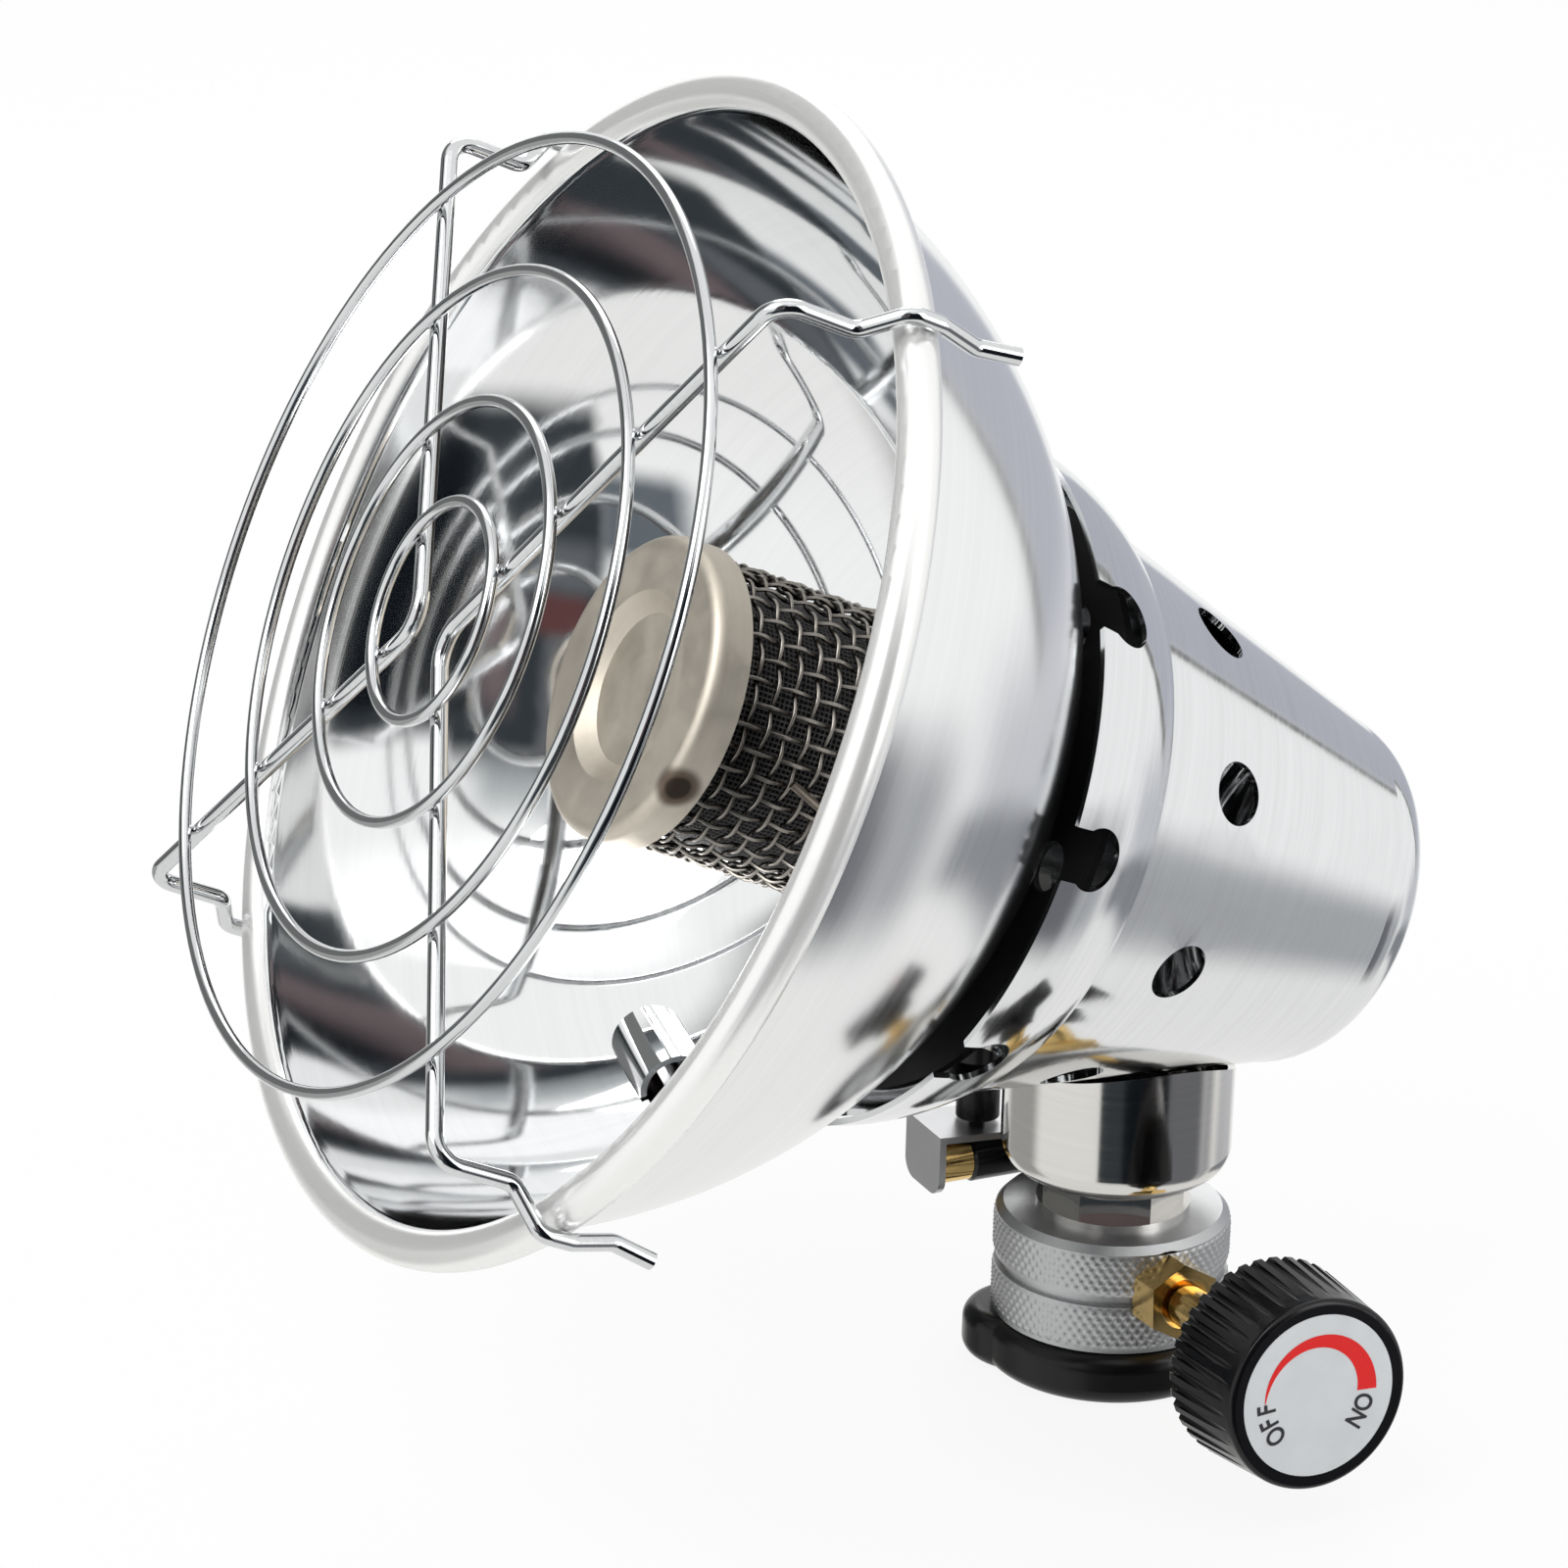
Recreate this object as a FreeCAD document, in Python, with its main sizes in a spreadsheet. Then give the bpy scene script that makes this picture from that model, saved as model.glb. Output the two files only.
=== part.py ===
import FreeCAD, Part
import math
import os
import Sketcher
from FreeCAD import Placement, Rotation, Vector

# Portable propane heater: a dish reflector with a wire guard and a mesh burner, a conical rear
# cover, a neck with its valve and knob, and a spark igniter beside the neck.
# Millimetres, +Z up along the neck. The origin is the centre of the cartridge socket's mouth.
# The reflector's axis crosses the neck's axis and rises towards -Y, the front.

doc = FreeCAD.newDocument("heater")
dims = doc.addObject("Spreadsheet::Sheet", "dims")

SIZES = [
    # head
    ("head_height", 65.5),
    ("head_reach", 83.3),
    ("head_tilt", 23.8),
    # reflector
    ("rim_radius", 70.0),
    ("bead_radius", 2.4),
    ("bead_end_angle", 60.0),
    ("sheet", 0.8),
    ("bowl_radius", 72.0),
    ("bowl_depth", 54.2),
    ("floor_radius", 25.2),
    ("flare_inset", 4.1),
    ("flare_depth", 2.9),
    ("hood_angle", -102.5),
    ("hood_depth", 40.2),
    ("hood_radius", 4.4),
    ("hood_length", 11.0),
    # guard
    ("guard_reach", 15.7),
    ("ring_wire", 0.75),
    ("arm_wire", 1.0),
    ("ring_radius_a", 55.1),
    ("ring_radius_b", 39.6),
    ("ring_radius_c", 24.4),
    ("ring_radius_d", 12.7),
    ("guard_rise", 1.0),
    ("corner_right", 1.2),
    ("corner_left", -4.9),
    ("corner_drop", 1.6),
    ("guard_corner", 4.5),
    ("arm_angle_upper_right", 49.4),
    ("arm_angle_lower_right", -45.7),
    ("arm_angle_upper_left", 133.8),
    ("arm_angle_lower_left", -133.6),
    ("hook_inset", 4.2),
    ("hook_crease", 4.1),
    ("hook_snap", 1.3),
    ("hook_end", 13.6),
    # burner
    ("cap_radius", 18.1),
    ("cap_depth", 10.9),
    ("cap_skirt", 4.8),
    ("cap_edge", 1.5),
    ("recess_outer", 11.3),
    ("recess_inner", 9.0),
    ("recess_depth", 1.7),
    ("mesh_wall", 0.9),
    ("fine_mesh_radius", 15.2),
    ("fine_mesh_wall", 0.6),
    ("base_plate", 1.0),
    ("base_radius", 24.2),
    ("base_lip", 6.0),
    # mixing tube
    ("tube_radius", 6.0),
    ("tube_wall", 0.9),
    ("tube_bend", 16.0),
    ("tube_foot", 26.5),
    ("air_hole", 1.6),
    # burner screws
    ("screw_circle", 20.9),
    ("screw_radius", 1.5),
    ("screw_count", 3),
    ("screw_head", 2.6),
    ("screw_head_height", 1.8),
    ("screw_slot", 0.72),
    ("screw_tail", 1.0),
    ("nut_across", 5.5),
    ("nut_height", 2.2),
    # shield and rear cover
    ("shield_wall", 1.0),
    ("shield_vent_circle", 28.47),
    ("shield_vent_radius", 2.96),
    ("shield_vent_count", 6),
    ("cover_lap", 6.8),
    ("cover_tilt", 2.0),
    ("cover_mouth", 42.3),
    ("cover_waist", 35.6),
    ("cover_waist_depth", 14.8),
    ("cover_end", 22.3),
    ("cover_corner", 7.9),
    ("cover_length", 66.7),
    ("cover_tail", 13.0),
    ("vent_radius", 3.7),
    ("vent_count", 9),
    ("vent_first", 24.0),
    ("vent_depth", 27.5),
    ("notch_radius", 3.7),
    ("notch_depth", 4.3),
    ("notch_neck", 6.2),
    ("neck_way", 9.2),
    ("saddle_gap", 0.6),
    # valve body
    ("boss_height", 5.5),
    ("boss_radius", 10.5),
    ("drum_radius", 14.4),
    ("drum_height", 13.9),
    ("drum_chamfer", 0.9),
    ("groove_depth", 0.6),
    ("groove_width", 1.3),
    ("groove_height", 6.1),
    ("socket_radius", 5.15),
    ("socket_depth", 8.0),
    ("socket_relief", 5.9),
    ("seal_groove", 2.0),
    ("seal_gap", 0.3),
    ("gas_bore", 1.6),
    # neck
    ("stem_flange", 9.5),
    ("stem_across", 15.0),
    ("stem_washer", 0.8),
    ("stem_turn", 3.0),
    ("stem_height", 5.2),
    ("nipple_radius", 7.2),
    ("nipple_height", 8.0),
    ("spigot_radius", 5.6),
    ("spigot_height", 3.2),
    ("collar_radius", 14.15),
    ("collar_wall", 0.9),
    ("collar_floor", 1.2),
    ("collar_corner", 3.4),
    ("collar_height", 22.0),
    ("neck_nut_across", 17.0),
    ("neck_nut_height", 3.5),
    ("jet_height", 6.0),
    ("jet_wall", 1.2),
    ("jet_thread", 0.8),
    ("jet_nose", 0.2),
    ("jet_hole", 0.15),
    # spindle and knob
    ("spindle_height", 12.3),
    ("knob_tilt", 4.0),
    ("spindle_radius", 2.65),
    ("spindle_tip_place", 2.08),
    ("spindle_tip_radius", 0.3),
    ("spindle_tip_length", 3.0),
    ("spindle_shoulder", 4.0),
    ("spindle_end", 7.315),
    ("spindle_tap_floor", 3.99),
    ("gland_across", 8.6),
    ("packing_radius", 0.7),
    ("gland_start", 13.6),
    ("gland_length", 5.2),
    ("gland_mouth", 3.15),
    ("gland_mouth_depth", 1.2),
    ("knob_start", 37.2),
    ("knob_length", 13.3),
    ("knob_radius", 12.6),
    ("knob_taper", 0.9),
    ("knob_edge", 0.8),
    ("knob_front_edge", 0.7),
    ("knob_web_rear", 7.714),
    ("knob_web_front", 8.778),
    ("knob_screw_reach", 5.32),
    ("knob_screw_sink", 0.6),
    ("knob_hub", 5.6),
    ("knob_hub_length", 8.5),
    ("rib_count", 38),
    ("rib_groove", 0.62),
    ("rib_depth", 0.85),
    ("label_radius", 9.9),
    ("label_wall", 0.8),
    # cartridge ring
    ("seat_radius", 15.8),
    ("seat_height", 6.7),
    ("seat_edge", 2.2),
    ("tab_length", 2.2),
    ("tab_width", 15.0),
    ("tab_angle", 244.0),
    # igniter
    ("igniter_side", 17.8),
    ("igniter_height", 19.9),
    ("igniter_radius", 3.1),
    ("igniter_edge", 0.4),
    ("igniter_front", 11.5),
    ("igniter_length", 24.0),
    ("ferrule_length", 4.9),
    ("ferrule_radius", 2.8),
    ("ferrule_edge", 0.3),
    ("press_travel", 3.0),
    ("spring_wire", 0.22),
    ("spring_height", 2.7),
    ("button_radius", 2.0),
    ("button_proud", 1.5),
    ("button_edge", 0.5),
    ("bracket_wall", 0.9),
    ("bracket_width", 9.4),
    ("bracket_front", 17.4),
    ("bracket_drop", 8.2),
    ("bracket_rise", 0.7),
    ("bracket_corner", 2.4),
    ("sleeve_radius", 2.75),
    ("sleeve_place", 9.9),
    ("sleeve_top", 49.78),
    ("lead_radius", 1.0),
    # electrode
    ("electrode_radius", 1.9),
    ("electrode_wire", 0.5),
    ("electrode_angle", 100.0),
    ("electrode_circle", 22.0),
    ("electrode_rear", 59.2),
    ("electrode_front", 46.2),
    ("electrode_tip", 24.2),
    ("electrode_kink", 6.0),
    ("electrode_bend", 1.5),
    ("electrode_lean", 1.8),
    ("electrode_lift", 2.2),
    ("lead_depth", 64.2),
    # fits
    ("fit_gap", 0.05),
    ("seat_gap", 0.3),
]

for row, (alias, value) in enumerate(SIZES, start=1):
    dims.set("A%d" % row, alias)
    dims.set("B%d" % row, str(value))
    dims.setAlias("B%d" % row, alias)
doc.recompute()


class Sheet:
    """Reads a driving size by its name."""

    def __getattr__(self, alias):
        return float(dims.get(alias))


size = Sheet()
pieces = []


# Frames

HEAD_ANGLE = 90.0 - size.head_tilt
head_front = Vector(0, -math.cos(math.radians(size.head_tilt)), math.sin(math.radians(size.head_tilt)))
crossing = Vector(0, 0, size.head_height)
HEAD = Placement(crossing + head_front * size.head_reach, Rotation(Vector(1, 0, 0), HEAD_ANGLE))
cover_mouth_place = Vector(0, 0, size.cover_lap - size.bowl_depth)
COVER = HEAD.multiply(Placement(cover_mouth_place, Rotation(Vector(1, 0, 0), size.cover_tilt)))
SPINDLE = Placement(Vector(0, 0, size.spindle_height), Rotation(Vector(0, 1, 0), 90.0 - size.knob_tilt))
NECK = Placement()
IGNITER = Placement(
    Vector(-size.igniter_side, -size.igniter_front, size.igniter_height), Rotation(Vector(1, 0, 0), -90)
)


# Tools for making pieces

def keep(piece, label, placement):
    """Names a finished sub-part and puts it in its place."""
    piece.Label = label
    piece.Placement = placement
    pieces.append(piece)
    return piece


def origin_plane(body, role):
    """The body's own plane with this role."""
    for feature in body.Origin.OriginFeatures:
        if feature.Role == role:
            return feature
    raise ValueError(role)


def new_sketch(body, name, role):
    sketch = body.newObject("Sketcher::SketchObject", name)
    sketch.AttachmentSupport = [(origin_plane(body, role), "")]
    sketch.MapMode = "FlatFace"
    return sketch


def arc_between(start, end, radius, turn):
    """The short arc from start to end; turn is +1 for anticlockwise and -1 for clockwise."""
    chord = end - start
    reach = chord.Length / 2
    height = math.sqrt(max(radius * radius - reach * reach, 0.0))
    across = Vector(-chord.y, chord.x, 0).normalize()
    centre = (start + end) * 0.5 + across * (height * turn)
    first = math.atan2(start.y - centre.y, start.x - centre.x)
    last = math.atan2(end.y - centre.y, end.x - centre.x)
    circle = Part.Circle(centre, Vector(0, 0, 1), radius)
    if turn > 0:
        return Part.ArcOfCircle(circle, first, last)
    return Part.ArcOfCircle(circle, last, first)


def outline(sketch, points):
    """A closed outline. Each point is (across, along) or (across, along, radius, turn), all of them
    expressions of the sheet's sizes; the last two make the side that follows an arc."""
    places = []
    for point in points:
        across, along = (float(sketch.evalExpression(text)) for text in point[:2])
        places.append(Vector(across, along, 0))
    count = len(points)
    sides = []
    for index, point in enumerate(points):
        start = places[index]
        end = places[(index + 1) % count]
        if len(point) == 4:
            radius = float(sketch.evalExpression(point[2]))
            number = sketch.addGeometry(arc_between(start, end, radius, point[3]), False)
            constraint = sketch.addConstraint(Sketcher.Constraint("Radius", number, radius))
            sketch.setExpression("Constraints[%d]" % constraint, point[2])
            sides.append((number, 1, 2) if point[3] > 0 else (number, 2, 1))
        else:
            number = sketch.addGeometry(Part.LineSegment(start, end), False)
            sides.append((number, 1, 2))
    for index in range(count):
        number, first, last = sides[index]
        other, other_first, other_last = sides[(index + 1) % count]
        sketch.addConstraint(Sketcher.Constraint("Coincident", number, last, other, other_first))
    for index, point in enumerate(points):
        number, first, last = sides[index]
        for axis, kind, line in ((0, "DistanceX", -2), (1, "DistanceY", -1)):
            if point[axis] == "0":
                sketch.addConstraint(Sketcher.Constraint("PointOnObject", number, first, line))
            else:
                value = places[index][axis]
                constraint = sketch.addConstraint(Sketcher.Constraint(kind, -1, 1, number, first, value))
                sketch.setExpression("Constraints[%d]" % constraint, point[axis])


def turned(body, name, points):
    """A solid of revolution about the body's Z axis, from its outline in the XZ plane."""
    sketch = new_sketch(body, name + "_outline", "XZ_Plane")
    outline(sketch, points)
    turn = body.newObject("PartDesign::Revolution", name)
    turn.Profile = sketch
    turn.ReferenceAxis = (sketch, ["V_Axis"])
    turn.Angle = 360
    body.Tip = turn
    return turn


def turned_piece(label, points, placement):
    body = doc.addObject("PartDesign::Body", label)
    turned(body, label + "_turn", points)
    return keep(body, label, placement)


def circle_cut(body, name, role, across, along, radius, length, reverse, both=False):
    """A round pocket cut from one of the body's own planes."""
    before = volume_of(body)
    sketch = new_sketch(body, name + "_outline", role)
    place = Vector(float(sketch.evalExpression(across)), float(sketch.evalExpression(along)), 0)
    bore = float(sketch.evalExpression(radius))
    sketch.addGeometry(Part.Circle(place, Vector(0, 0, 1), bore), False)
    constraint = sketch.addConstraint(Sketcher.Constraint("Radius", 0, bore))
    sketch.setExpression("Constraints[%d]" % constraint, radius)
    for value, text, kind, line in ((place.x, across, "DistanceX", -2), (place.y, along, "DistanceY", -1)):
        if text == "0":
            sketch.addConstraint(Sketcher.Constraint("PointOnObject", 0, 3, line))
        else:
            constraint = sketch.addConstraint(Sketcher.Constraint(kind, -1, 1, 0, 3, value))
            sketch.setExpression("Constraints[%d]" % constraint, text)
    pocket = body.newObject("PartDesign::Pocket", name)
    pocket.Profile = sketch
    pocket.setExpression("Length", length)
    pocket.Reversed = reverse
    pocket.Midplane = both
    body.Tip = pocket
    doc.recompute()
    if not volume_of(body) < before - 1e-6:
        raise ValueError(name + " cuts nothing")
    return pocket


def around(body, name, features, count):
    """Repeats cuts about the body's Z axis."""
    pattern = body.newObject("PartDesign::PolarPattern", name)
    pattern.Originals = features
    pattern.Axis = (origin_axis(body), [""])
    pattern.Angle = 360
    pattern.setExpression("Occurrences", count)
    body.Tip = pattern
    doc.recompute()
    return pattern


def plate_holes(body, name):
    """The holes for the three screws and the electrode, through a piece that the screws clamp."""
    through = "2 * (dims.bowl_depth + dims.shield_wall + 2)"
    screw = circle_cut(
        body, name + "_screw_hole", "XY_Plane", "-dims.screw_circle", "0",
        "dims.screw_radius + dims.fit_gap", through, False, True,
    )
    around(body, name + "_screw_holes", [screw], "dims.screw_count")
    angle = "dims.electrode_angle"
    circle_cut(
        body, name + "_electrode_hole", "XY_Plane",
        "dims.electrode_circle * sin(%s)" % angle, "dims.electrode_circle * cos(%s)" % angle,
        "dims.electrode_radius + dims.fit_gap", through, False, True,
    )
    doc.recompute()


def origin_axis(body):
    for feature in body.Origin.OriginFeatures:
        if feature.Role == "Z_Axis":
            return feature
    raise ValueError("Z_Axis")


def volume_of(body):
    doc.recompute()
    return body.Shape.Volume


def primitive(kind, name, **values):
    """A Part primitive whose sizes follow the sheet."""
    piece = doc.addObject(kind, name)
    for prop, text in values.items():
        piece.setExpression(prop, text)
    doc.recompute()
    return piece


def fused(name, shapes):
    result = doc.addObject("Part::MultiFuse", name)
    result.Shapes = shapes
    doc.recompute()
    return result


def cut(name, base, tool):
    result = doc.addObject("Part::Cut", name)
    result.Base = base
    result.Tool = tool
    doc.recompute()
    return result


def feature(label, shape, placement):
    """A sub-part whose shape is made directly, put in its place afterwards."""
    piece = doc.addObject("Part::Feature", label)
    piece.Shape = shape
    return keep(piece, label, placement)


def bent_wire(points, bends, radius):
    """A round wire along straight runs joined by tangent arcs; bends holds each corner's radius."""
    edges = []
    last = points[0]
    for index in range(1, len(points) - 1):
        corner = points[index]
        back = (points[index - 1] - corner).normalize()
        ahead = (points[index + 1] - corner).normalize()
        angle = back.getAngle(ahead)
        reach = bends[index - 1] / math.tan(angle / 2)
        start = corner + back * reach
        end = corner + ahead * reach
        middle = (back + ahead).normalize()
        apex = corner + middle * (bends[index - 1] / math.sin(angle / 2) - bends[index - 1])
        if (start - last).Length > 1e-6:
            edges.append(Part.LineSegment(last, start).toShape())
        edges.append(Part.Arc(start, apex, end).toShape())
        last = end
    edges.append(Part.LineSegment(last, points[-1]).toShape())
    path = Part.Wire(edges)
    profile = Part.Wire([Part.Circle(points[0], (points[1] - points[0]).normalize(), radius).toShape()])
    return path.makePipeShell([profile], True, True)


# Reflector: a spun bowl with a rolled rim

def reflector():
    bead = "(dims.rim_radius - dims.bead_radius)"
    inner_bead = "(dims.bead_radius - dims.sheet)"
    sphere_out = "dims.bowl_radius"
    sphere_in = "(dims.bowl_radius - dims.sheet)"
    floor_out = "dims.floor_radius"
    floor_in = "dims.floor_radius - dims.sheet * 0.15"
    flare_out = "dims.rim_radius - dims.flare_inset"
    flare_in = "dims.rim_radius - dims.flare_inset - dims.sheet * 1.02"
    hole = "dims.tube_radius + dims.seat_gap"
    body = doc.addObject("PartDesign::Body", "reflector")
    turned(body, "reflector_turn", [
        (hole, "-dims.bowl_depth"),
        (floor_out, "-dims.bowl_depth", sphere_out, 1),
        (flare_out, "-dims.flare_depth"),
        (bead + " - " + inner_bead, "-dims.bead_radius", inner_bead, -1),
        (bead, "-dims.sheet", inner_bead, -1),
        (
            bead + " + %s * cos(dims.bead_end_angle)" % inner_bead,
            "-dims.bead_radius - %s * sin(dims.bead_end_angle)" % inner_bead,
        ),
        (
            bead + " + dims.bead_radius * cos(dims.bead_end_angle)",
            "-dims.bead_radius - dims.bead_radius * sin(dims.bead_end_angle)",
            "dims.bead_radius",
            1,
        ),
        (bead, "0", "dims.bead_radius", 1),
        (bead + " - dims.bead_radius", "-dims.bead_radius"),
        (flare_in, "-dims.flare_depth", sphere_in, -1),
        (floor_in, "-dims.bowl_depth + dims.sheet"),
        (hole, "-dims.bowl_depth + dims.sheet"),
    ])
    plate_holes(body, "reflector")
    return keep(body, "reflector", HEAD)


def bowl_arc_centre():
    """Centre of the arc of the bowl's outer wall, as (distance from the axis, height), from its ends."""
    foot = Vector(size.floor_radius, -size.bowl_depth, 0)
    top = Vector(size.rim_radius - size.flare_inset, -size.flare_depth, 0)
    chord = top - foot
    across = Vector(-chord.y, chord.x, 0).normalize()
    return (foot + top) * 0.5 + across * math.sqrt(size.bowl_radius ** 2 - (chord.Length / 2) ** 2)


def bowl_hood():
    """A small pressed hood on the bowl's wall, closed at one end and open at the other."""
    turn = math.radians(size.hood_angle)
    out = Vector(math.cos(turn), math.sin(turn), 0)
    way = Vector(-math.sin(turn), math.cos(turn), 0)
    middle = bowl_arc_centre()
    centre = out * middle.x + Vector(0, 0, middle.y)
    wall = size.bowl_radius - size.sheet
    reach = middle.x + math.sqrt(wall ** 2 - (size.hood_depth + middle.y) ** 2)
    place = out * reach + Vector(0, 0, -size.hood_depth)
    start = place - way * (size.hood_length / 2)
    outer = Part.makeCylinder(size.hood_radius, size.hood_length, start, way)
    inner_start = start + way * size.sheet
    inner = Part.makeCylinder(size.hood_radius - size.sheet, size.hood_length, inner_start, way)
    inside = Part.makeSphere(wall - size.seat_gap, centre)
    return feature("bowl_hood", outer.cut(inner).common(inside), HEAD)


# Guard: four closed rings on two bent wires that hook over the rim

def guard_ring(label, radius):
    ring = primitive("Part::Torus", label, Radius1=radius, Radius2="dims.ring_wire")
    offset = Placement(Vector(0, size.guard_rise, size.guard_reach), Rotation())
    return keep(ring, label, HEAD.multiply(offset))


def guard_wire(label, corner_across, upper_angle, lower_angle):
    """One wire: a corner near the middle, two arms behind the rings and a hook over the rim at each end."""
    plane = size.guard_reach - size.ring_wire - size.arm_wire - size.fit_gap
    outside = size.rim_radius + size.arm_wire + size.fit_gap
    inset = size.rim_radius - size.hook_inset
    ends = []
    for angle in (upper_angle, lower_angle):
        turn = math.radians(angle)
        way = Vector(math.cos(turn), math.sin(turn), 0)
        ends.append([
            way * inset + Vector(0, 0, plane),
            way * (inset + size.fit_gap) + Vector(0, 0, size.hook_crease),
            way * outside + Vector(0, 0, size.arm_wire * 0.5),
            way * outside + Vector(0, 0, -size.bead_radius * 1.4),
            way * (outside - size.hook_snap) + Vector(0, 0, -size.hook_end * 0.63),
            way * (outside - size.hook_snap * 0.2) + Vector(0, 0, -size.hook_end),
        ])
    points = list(reversed(ends[0])) + [Vector(corner_across, -size.corner_drop, plane)] + ends[1]
    crease = size.arm_wire * 2.0
    bends = [crease] * 4 + [size.arm_wire * 3.0, size.guard_corner, size.arm_wire * 3.0] + [crease] * 4
    return feature(label, bent_wire(points, bends, size.arm_wire), HEAD)


# Burner: a pressed cap on a coarse and a fine mesh tube, on a base plate with a raised lip

def burner():
    face = "-dims.cap_depth"
    turned_piece("burner_cap", [
        ("0", face + " - dims.recess_depth"),
        ("0", face + " - dims.recess_depth - dims.sheet"),
        ("dims.recess_inner + dims.sheet / 2", face + " - dims.recess_depth - dims.sheet"),
        ("dims.recess_outer + dims.sheet / 2", face + " - dims.sheet"),
        (
            "dims.cap_radius - dims.cap_edge", face + " - dims.sheet",
            "dims.cap_edge - dims.sheet", -1,
        ),
        ("dims.cap_radius - dims.sheet", face + " - dims.cap_edge"),
        ("dims.cap_radius - dims.sheet", face + " - dims.cap_skirt"),
        ("dims.cap_radius", face + " - dims.cap_skirt"),
        ("dims.cap_radius", face + " - dims.cap_edge", "dims.cap_edge", 1),
        ("dims.cap_radius - dims.cap_edge", face),
        ("dims.recess_outer", face),
        ("dims.recess_inner", face + " - dims.recess_depth"),
    ], HEAD)
    plate_top = "(-dims.bowl_depth + dims.sheet + dims.base_plate)"
    coarse = "(dims.cap_radius - dims.sheet - 2 * dims.fit_gap)"
    top = face + " - dims.cap_edge"
    turned_piece("burner_mesh_outer", [
        (coarse + " - dims.mesh_wall", plate_top + " + dims.fit_gap"),
        (coarse, plate_top + " + dims.fit_gap"),
        (coarse, top),
        (coarse + " - dims.mesh_wall", top),
    ], HEAD)
    fine = "dims.fine_mesh_radius"
    turned_piece("burner_mesh_inner", [
        (fine + " - dims.fine_mesh_wall", plate_top + " + dims.fit_gap"),
        (fine, plate_top + " + dims.fit_gap"),
        (fine, top),
        (fine + " - dims.fine_mesh_wall", top),
    ], HEAD)
    bore = "dims.tube_radius + dims.fit_gap"
    body = doc.addObject("PartDesign::Body", "burner_base")
    turned(body, "burner_base_turn", [
        (bore, "-dims.bowl_depth + dims.sheet"),
        ("dims.base_radius", "-dims.bowl_depth + dims.sheet"),
        ("dims.base_radius", plate_top),
        (coarse + " - dims.mesh_wall - dims.fit_gap", plate_top),
        (coarse + " - dims.mesh_wall - dims.fit_gap", plate_top + " + dims.base_lip"),
        (fine + " + dims.fit_gap", plate_top + " + dims.base_lip"),
        (fine + " + dims.fit_gap", plate_top),
        (bore, plate_top),
    ])
    plate_holes(body, "burner_base")
    keep(body, "burner_base", HEAD)


def screws_and_nuts():
    """Three screws hold the burner base, the bowl and the shield together."""
    head_seat = -size.bowl_depth + size.sheet + size.base_plate
    nut_seat = -size.bowl_depth - size.shield_wall - size.fit_gap
    tail = nut_seat - size.nut_height - size.screw_tail
    slot_floor = head_seat + size.screw_head_height - size.screw_slot
    screw_list = []
    nut_list = []
    for index in range(int(size.screw_count)):
        turn = Rotation(Vector(0, 0, 1), 360.0 / size.screw_count * index)
        place = turn.multVec(Vector(-size.screw_circle, 0, 0))
        shank = Part.makeCylinder(size.screw_radius, head_seat - tail, place + Vector(0, 0, tail))
        head = Part.makeCylinder(size.screw_head, size.screw_head_height, place + Vector(0, 0, head_seat))
        slot = Part.makeBox(
            size.screw_head * 3, size.sheet, size.screw_head_height,
            place + Vector(-size.screw_head * 1.5, -size.sheet / 2, slot_floor),
        )
        screw_list.append(shank.fuse(head).removeSplitter().cut(slot))
        nut_place = place + Vector(0, 0, nut_seat - size.nut_height)
        nut_bore = size.screw_radius + size.fit_gap
        nut_list.append(hex_nut(size.nut_across, size.nut_height, nut_bore, nut_place))
    feature("burner_screws", Part.makeCompound(screw_list), HEAD)
    feature("burner_nuts", Part.makeCompound(nut_list), HEAD)


def hex_nut(across, height, bore, place):
    """A hexagon nut standing on place, with its bore along Z."""
    corner = across / math.sqrt(3)
    points = [
        place + Vector(corner * math.cos(math.radians(60 * k)), corner * math.sin(math.radians(60 * k)), 0)
        for k in range(7)
    ]
    prism = Part.Face(Part.makePolygon(points)).extrude(Vector(0, 0, height))
    return prism.cut(Part.makeCylinder(bore, height, place))


def heat_shield():
    """A black plate behind the bowl that centres the rear cover."""
    top = "(-dims.bowl_depth - dims.fit_gap)"
    body = doc.addObject("PartDesign::Body", "heat_shield")
    depth = "(dims.shield_wall + dims.cover_lap)"
    edge = (
        "dims.cover_mouth - dims.sheet - 2 * dims.seat_gap - " + depth
        + " * (dims.cover_mouth - dims.cover_waist) / dims.cover_waist_depth * 1.25"
    )
    turned(body, "heat_shield_turn", [
        ("dims.tube_radius + dims.seat_gap", top + " - dims.shield_wall"),
        (edge, top + " - dims.shield_wall"),
        (edge, top),
        ("dims.tube_radius + dims.seat_gap", top),
    ])
    plate_holes(body, "heat_shield")
    vent = circle_cut(
        body, "heat_shield_vent", "XY_Plane", "-dims.shield_vent_circle", "0",
        "dims.shield_vent_radius", "2 * (dims.bowl_depth + dims.shield_wall + 2)", False, True,
    )
    around(body, "heat_shield_vents", [vent], "dims.shield_vent_count")
    return keep(body, "heat_shield", HEAD)


# Rear cover: a polished cone with notches at its mouth and a row of round vents

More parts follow.
